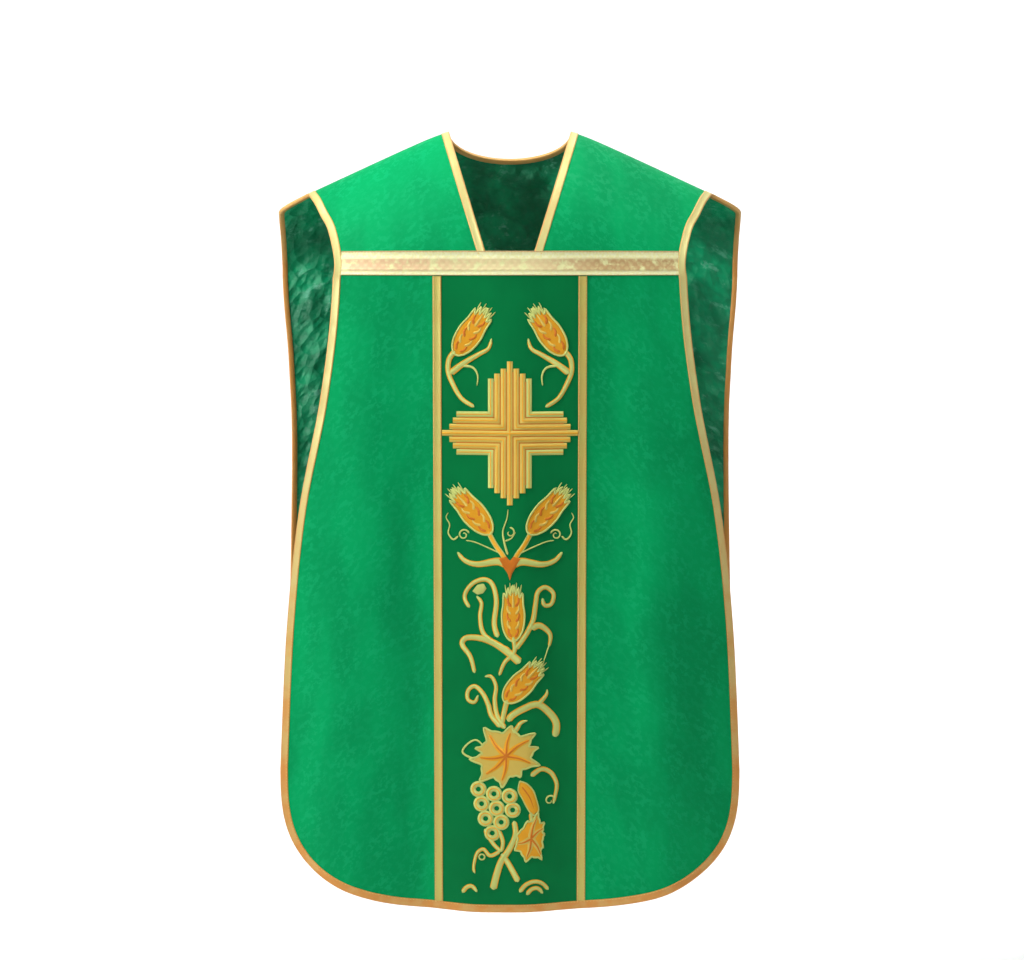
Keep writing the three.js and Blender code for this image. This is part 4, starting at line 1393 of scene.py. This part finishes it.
def embroider_cross(work):
    """A cross of nested bars: a middle bar each way, and three angled bars in each quarter, with painted
    shade in the gaps.
    """
    straight = functools.partial(work.satin, smooth=False, blunt=True)
    width, shift = CROSS_PITCH * 0.9, CROSS_PITCH / 2
    top, side = UPRIGHT_BARS[0], LEVEL_BARS[0]
    centre = CROSS_MIDDLE
    middle_bars = [[(0, centre - top), (0, centre + top)], [(-side, centre), (side, centre)]]
    for i, bar in enumerate(middle_bars):
        straight(bar, width, tone=STRAW, lift=0.2 * i)
        straight(bar, 2.4, tone=GOLD, lift=0.35 + 0.2 * i)
    for bar, tone in ((1, STRAW), (2, STRAW), (3, PALE)):
        offset = bar * CROSS_PITCH
        for across in (-1, 1):
            for up in (-1, 1):
                corner = [(across * offset, centre + up * UPRIGHT_BARS[bar]),
                          (across * offset, centre + up * offset),
                          (across * LEVEL_BARS[bar], centre + up * offset)]
                # Painted shade: a thin line of deep thread in the gap inside each angled bar.
                gap_shade_line = [(x - across * shift, z - up * shift) for x, z in corner]
                straight(corner, width, tone=tone)
                straight(corner, 2.2, tone=GOLD, lift=0.3)
                straight(gap_shade_line, 1.4, tone=DEEP, lift=0.1)


def embroider_upper_ear(work, side):
    """One of the two ears over the cross. The side is 1 for the one on the viewer's left."""
    place = functools.partial(on_side, side)
    base, tip = place([(-76, -315), (-35, -256)])
    embroider_ear(work, base, tip, 34)
    couched(work, place([(-77, -311), (-85, -322), (-86.5, -339), (-80, -357), (-68, -377), (-50, -389)]),
            4.6, 3.0)
    couched(work, place([(-83.5, -342), (-65, -328), (-45, -316), (-30, -307), (-25.6, -293)]), 6.2, 2.0)
    work.satin(place([(-66, -331), (-51.5, -334), (-45, -345), (-46, -359)]), 4.0, 1.6, tone=PALE)


def spiral(x, z, radius, turns, start, sense=1):
    """Points of a curl that winds in to its middle."""
    angle = np.linspace(0, 2 * math.pi * turns, int(12 * turns) + 1)
    reach = radius * (1 - 0.75 * angle / angle[-1])
    return [(x + r * math.cos(start + sense * a), z + r * math.sin(start + sense * a))
            for a, r in zip(angle, reach)]


def embroider_corn_spray(work):
    """Two ears on curved stems from one node, with leaves, curls and a bud between them."""
    for side in (1, -1):
        place = functools.partial(on_side, side)
        base, tip = place([(-27, -567), (-77, -510)])
        embroider_ear(work, base, tip, 34)
        couched(work, place([(-31, -564), (-21, -582.6), (-9, -600), (-2, -618)]), 4.0, 4.4, tone=GOLD)
        couched(work, place([(-4, -611), (-18, -607), (-45, -611.6), (-63, -607), (-74, -595)]), 8.0, 2.6)
        work.satin(place(spiral(-65, -570, 8, 1.3, 0.3)), 2.6, 1.6, tone=PALE)
        work.satin(place([(-8, -598), (-30, -588), (-50, -580), (-62, -578)]), 2.0, 1.6, tone=PALE)
        work.satin(place([(-73, -572), (-80, -577), (-87, -568), (-85, -556), (-90, -546), (-87, -539)]),
                   2.6, 1.2, tone=PALE)
    work.patch([(-17, -603), (-6, -599), (0, -606), (6, -599), (15.6, -603), (9, -614), (3, -624), (0, -634),
                (-3, -624), (-10, -614)], tone=DEEP, lift=0.5)
    work.satin([(-3, -597), (-7.5, -581), (-9.7, -564), (-4, -546), (-2.5, -533)], 3.4, 1.2, tone=PALE)
    work.satin(spiral(0, -566, 7.5, 0.9, 1.6, -1), 2.6, 1.4, tone=PALE)
    work.satin([(-7, -578), (2, -574), (8, -565)], 2.4, 1.2, tone=PALE)


def embroider_scroll_ear(work):
    """An upright ear between two scrolled tendrils, with a small leaf and a bent leaf."""
    embroider_ear(work, (4.7, -720), (4.7, -648), 32)
    couched(work, [(-17, -715), (-22, -696), (-19, -664), (-24, -641), (-35, -633), (-51, -638), (-62, -651),
                   (-63.5, -662), (-57, -673.5)], 4.6, 3.0)
    couched(work, [(0, -734.7), (-23.5, -722), (-38, -709), (-42, -686), (-40, -667), (-47, -657)], 4.8, 2.6)
    work.patch([(-53, -650), (-46, -641), (-37, -639), (-33, -646), (-38, -653), (-46, -655)],
               tone=PALE, lift=0.3)
    couched(work, [(8, -731.5), (24, -709), (33, -689.5), (36.4, -667), (39.5, -651), (50.5, -644.4),
                   (61.7, -654), (58.7, -668.5), (49, -670), (46, -660)], 4.6, 3.0)
    couched(work, [(30, -702.5), (42.7, -699), (57, -712), (55.4, -730)], 6.4, 2.0)
    work.satin([(55.4, -728), (47.8, -751), (44.6, -764)], 1.8, 1.0, tone=PALE)
    couched(work, [(14.6, -751), (-4.5, -735), (-23.5, -723), (-42.4, -717), (-61.4, -717), (-67.6, -726.6),
                   (-56, -744), (-50, -767)], 7.6, 3.0)
    couched(work, [(4.7, -714), (6.4, -735), (-7.4, -751), (-15, -770)], 4.0, 2.4)


def embroider_leaning_ear(work):
    """An ear leaning to one side on its stem, with a double scroll and a thick leaf."""
    embroider_ear(work, (-7, -807), (41, -757), 33)
    couched(work, [(-4, -805), (-8.6, -825), (-12, -842)], 4.4, 4.4)
    couched(work, [(-13, -844), (-26, -828), (-30.7, -812), (-38.6, -796), (-50, -786), (-59.4, -793),
                   (-59.4, -805.6), (-50, -809), (-45, -799)], 4.6, 2.6)
    couched(work, [(-7, -846), (-18, -828), (-21.4, -805.6), (-19.6, -786), (-26, -772), (-35.5, -772)],
            4.6, 2.4)
    couched(work, [(-2, -836), (2.4, -828), (18, -818.5), (38.8, -812), (56.3, -825), (66, -841),
                   (64.4, -860)], 6.0, 7.0)
    couched(work, [(40.5, -812), (51.5, -799), (53, -791)], 4.2, 1.8)
    couched(work, [(3, -852), (9, -847.6), (15.3, -838), (24.8, -834.7)], 5.0, 1.8)


LEAF_STEPS = 7
LEAF_TEETH = 0.03


def leaf_outline(x, z, lobes, depth):
    """A closed outline through lobe tips (angle in degrees, reach), with notches between them."""
    points = []
    lobes = sorted(lobes)
    for (angle, reach), (next_angle, next_reach) in zip(lobes, lobes[1:] + lobes[:1]):
        span = (next_angle - angle) % 360
        for i in range(LEAF_STEPS):
            share = i / LEAF_STEPS
            turn = math.radians(angle + span * share)
            notch = depth * math.sin(math.pi * share) ** 0.8
            teeth = LEAF_TEETH * math.sin(4 * math.pi * share)
            tip = (reach * (1 - share) + next_reach * share) * (1 - notch + teeth)
            points.append((x + tip * math.cos(turn), z + tip * math.sin(turn)))
    return np.array(points)


def embroider_leaf(work, x, z, lobes, veins, depth, tone=GOLD):
    """A lobed leaf with a pale outline and deep veins to some of its lobes."""
    outline = leaf_outline(x, z, lobes, depth)
    work.patch(outline, tone=tone, slope=3.2)
    edge = np.concatenate([outline, outline[:1]])
    work.satin(edge, 2.8, tone=PALE, lift=0.35, height=1.0, blunt=True)
    light = GOLD if tone == STRAW else STRAW
    for angle, reach in veins:
        turn = math.radians(angle)
        tip = (x + 0.86 * reach * math.cos(turn), z + 0.86 * reach * math.sin(turn))
        bend = (x + 0.45 * reach * math.cos(turn + 0.12), z + 0.45 * reach * math.sin(turn + 0.12))
        work.satin([(x, z), bend, tip], 12.0, 4.0, tone=light, lift=0.9, height=0.6)
        work.satin([(x, z), bend, tip], 3.6, 1.4, tone=DEEP, lift=1.2, height=0.7)


def embroider_vine_leaf(work):
    """The large vine leaf, with a curl at its side."""
    lobes = [(128, 51), (166, 45), (186, 52), (224, 53), (262, 46), (303, 36), (343, 49), (14, 47), (38, 52),
             (80, 44)]
    veins = [(128, 45), (184, 44), (222, 46), (260, 42), (343, 42), (36, 46), (80, 40)]
    embroider_leaf(work, -5, -886, lobes, veins, depth=0.27, tone=STRAW)
    work.satin([(-46, -893), (-66.8, -883), (-60.5, -870), (-47.7, -863.7), (-36.6, -873.4)],
               3.4, 2.2, tone=PALE)


GRAPES = [(-44.8, -934.7), (-22.6, -941), (-0.4, -944), (-40.3, -955.6), (-18.7, -962), (4, -964),
          (-34.5, -977), (-12.3, -982), (-25, -998)]


def embroider_grapes(work):
    """A hanging bunch of ringed grapes with its stalks, a half leaf and a hooked tendril."""
    for x, z in GRAPES:
        work.ring(x, z, 7.6, 8.0, tone=PALE)
        work.ring(x, z, 8.2, 1.8, tone=GOLD, lift=0.55)
    couched(work, [(-36, -992), (-24, -1013), (-12.2, -1025)], 3.6, 3.0)
    couched(work, [(-16, -994), (-10, -1010), (-12.2, -1025)], 3.6, 3.0)
    couched(work, [(6, -980), (8, -1000), (-1, -1021.6), (-12, -1038), (-18.5, -1057), (-24, -1080)],
            4.4, 7.0)
    couched(work, [(-12, -1028), (-1, -1044), (12, -1068.5)], 4.6, 5.6)
    couched(work, [(-14, -1024), (-28, -1031), (-37.5, -1021.6), (-47, -1028), (-51.8, -1047.5),
                   (-50, -1057)], 3.2, 2.0)
    work.ring(-40, -1033, 4.0, 2.2, tone=PALE)


def embroider_small_leaf(work):
    """The small leaf beside the grapes, its tendrils, and the tips of the next repeat."""
    lobes = [(75, 39), (49, 29), (15, 20), (321, 22), (296, 34), (257, 34), (214, 28), (163, 21), (100, 26)]
    veins = [(75, 36), (40, 26), (300, 32), (257, 32), (200, 24)]
    embroider_leaf(work, 30, -1006, lobes, veins, depth=0.21)
    half_leaf = np.array([(14, -922), (24, -926), (33, -936), (38, -950), (41, -966), (33, -972), (25, -962),
                          (18, -948), (12, -936)])
    work.patch(half_leaf, tone=GOLD)
    work.satin(np.concatenate([half_leaf, half_leaf[:1]]), 1.8, tone=PALE, lift=0.3, blunt=True)
    work.satin([(17, -930), (27, -944), (34, -962)], 2.4, 1.2, tone=DEEP, lift=0.7)
    couched(work, [(30, -968), (31, -980), (33, -992)], 3.6, 3.0)
    couched(work, [(30, -915), (44.5, -905.6), (58.7, -912), (66.7, -928), (65, -944), (62, -957)], 4.4, 2.6)
    work.satin(spiral(57, -952, 8, 1.0, 0.2), 2.6, 1.6, tone=PALE)
    for points in ([(-68, -1086), (-62, -1078), (-54, -1076), (-47, -1084)],
                   [(14, -1084), (22, -1074), (34, -1069), (46, -1072), (55, -1082)],
                   [(24, -1088), (31, -1080), (40, -1079), (47, -1087)]):
        couched(work, points, 3.6, 3.0)


MOTIFS = {
    "cross": embroider_cross,
    "upper_left_ear": functools.partial(embroider_upper_ear, side=-1),
    "upper_right_ear": functools.partial(embroider_upper_ear, side=1),
    "corn_spray": embroider_corn_spray,
    "scroll_ear": embroider_scroll_ear,
    "leaning_ear": embroider_leaning_ear,
    "vine_leaf": embroider_vine_leaf,
    "grapes": embroider_grapes,
    "small_leaf": embroider_small_leaf,
}


class CHASUBLE_OT_embroider(bpy.types.Operator):
    """Embroiders the columns of the front and the back"""

    bl_idname = "chasuble.embroider"
    bl_label = "Embroidery"

    def execute(self, context):
        for panel in ("front", "back"):
            for motif, draw in MOTIFS.items():
                work = Embroidery(panel)
                draw(work)
                work.finish(motif)
        return {"FINISHED"}


# ------------------------------------------------------------------ the stage

FLOOR_HEIGHT = -1.45
STUDIO_RADIUS = 6.5
STUDIO_HEIGHT = 5.0
STUDIO_ROUNDING = 1.6
STUDIO_SIDES = 96
CAMERA_PLACE = (0.003, -3.308, -0.1865)
CAMERA_PITCH = -5.47
CAMERA_LENS = 80
SENSOR_WIDTH = 36
AIR_GLOW = 0.05

# The lights: name, place, target, size in metres and power in watts.
LIGHTS = (
    ("key_light", (-2.05, -0.95, 1.10), (-0.08, 0, -0.36), 0.7, 84),
    ("fill_light", (2.4, -2.8, 0.2), (0, 0, -0.55), 2.4, 2),
    ("top_light", (0.34, -0.36, 1.45), (0.1, 0, -0.05), 0.8, 29),
    ("backdrop_light", (0.6, 3.1, 3.3), (0.1, 5.8, -0.6), 2.8, 190),
)


def add_light(name, place, target, size, power):
    light = bpy.data.lights.new(name, "AREA")
    light.shape = "DISK"
    light.size = size
    light.energy = power
    lamp = bpy.data.objects.new(name, light)
    lamp.location = place
    lamp.rotation_mode = "QUATERNION"
    lamp.rotation_quaternion = (Vector(target) - Vector(place)).to_track_quat("-Z", "Y")
    bpy.context.scene.collection.objects.link(lamp)


class CHASUBLE_OT_set_stage(bpy.types.Operator):
    """Sets the floor and backdrop, the lights and the camera"""

    bl_idname = "chasuble.set_stage"
    bl_label = "Stage"

    def execute(self, context):
        scene = context.scene
        bend = np.linspace(0, math.pi / 2, 17)
        reach = STUDIO_RADIUS + STUDIO_ROUNDING * (np.sin(bend) - 1)
        reach = np.append(reach, STUDIO_RADIUS)
        height = FLOOR_HEIGHT + STUDIO_ROUNDING * (1 - np.cos(bend))
        height = np.append(height, STUDIO_HEIGHT)
        turn = np.linspace(0, 2 * math.pi, STUDIO_SIDES, endpoint=False)
        points, faces = [(0, 0, FLOOR_HEIGHT)], []
        for r, z in zip(reach, height):
            points += [(r * math.cos(a), r * math.sin(a), z) for a in turn]
        for j in range(STUDIO_SIDES):
            k = (j + 1) % STUDIO_SIDES
            faces.append((0, 1 + j, 1 + k))
            for i in range(len(reach) - 1):
                low, high = 1 + i * STUDIO_SIDES, 1 + (i + 1) * STUDIO_SIDES
                faces.append((low + k, low + j, high + j, high + k))
        uvs = [(p[0], p[1]) for p in points]
        backdrop = add_mesh("studio_backdrop", points, faces, uvs, [studio_white()])
        for light in LIGHTS:
            add_light(*light)
        world = bpy.data.worlds.new("studio_air")
        world.use_nodes = True
        air = world.node_tree.nodes["Background"]
        air.inputs["Color"].default_value = (1, 1, 1, 1)
        air.inputs["Strength"].default_value = AIR_GLOW
        scene.world = world
        scene.view_settings.view_transform = "Standard"
        camera = bpy.data.objects.new("camera", bpy.data.cameras.new("camera"))
        camera.data.lens = CAMERA_LENS
        camera.data.sensor_width = SENSOR_WIDTH
        camera.location = CAMERA_PLACE
        camera.rotation_euler = (math.radians(90 + CAMERA_PITCH), 0, 0)
        scene.collection.objects.link(camera)
        scene.camera = camera
        return {"FINISHED"}


class CHASUBLE_PT_panel(bpy.types.Panel):
    """Sizes, colours and steps of the chasuble"""

    bl_idname = "CHASUBLE_PT_panel"
    bl_label = "Chasuble"
    bl_space_type = "VIEW_3D"
    bl_region_type = "UI"
    bl_category = "Chasuble"

    def draw(self, context):
        layout = self.layout
        for group in (context.scene.chasuble_sizes, context.scene.chasuble_colours):
            for name in group.__annotations__:
                layout.prop(group, name)
        for step in STEPS:
            layout.operator(step.bl_idname)


STEPS = (
    CHASUBLE_OT_cut_damask,
    CHASUBLE_OT_line,
    CHASUBLE_OT_sew_trims,
    CHASUBLE_OT_set_tabs,
    CHASUBLE_OT_embroider,
    CHASUBLE_OT_set_stage,
)
CLASSES = (ChasubleSizes, ChasubleColours, *STEPS, CHASUBLE_PT_panel)


def register():
    for each in CLASSES:
        bpy.utils.register_class(each)
    bpy.types.Scene.chasuble_sizes = PointerProperty(type=ChasubleSizes)
    bpy.types.Scene.chasuble_colours = PointerProperty(type=ChasubleColours)


def unregister():
    del bpy.types.Scene.chasuble_colours
    del bpy.types.Scene.chasuble_sizes
    for each in reversed(CLASSES):
        bpy.utils.unregister_class(each)


def main():
    register()
    for step in STEPS:
        getattr(bpy.ops.chasuble, step.bl_idname.split(".")[1])()


if __name__ == "__main__":
    main()
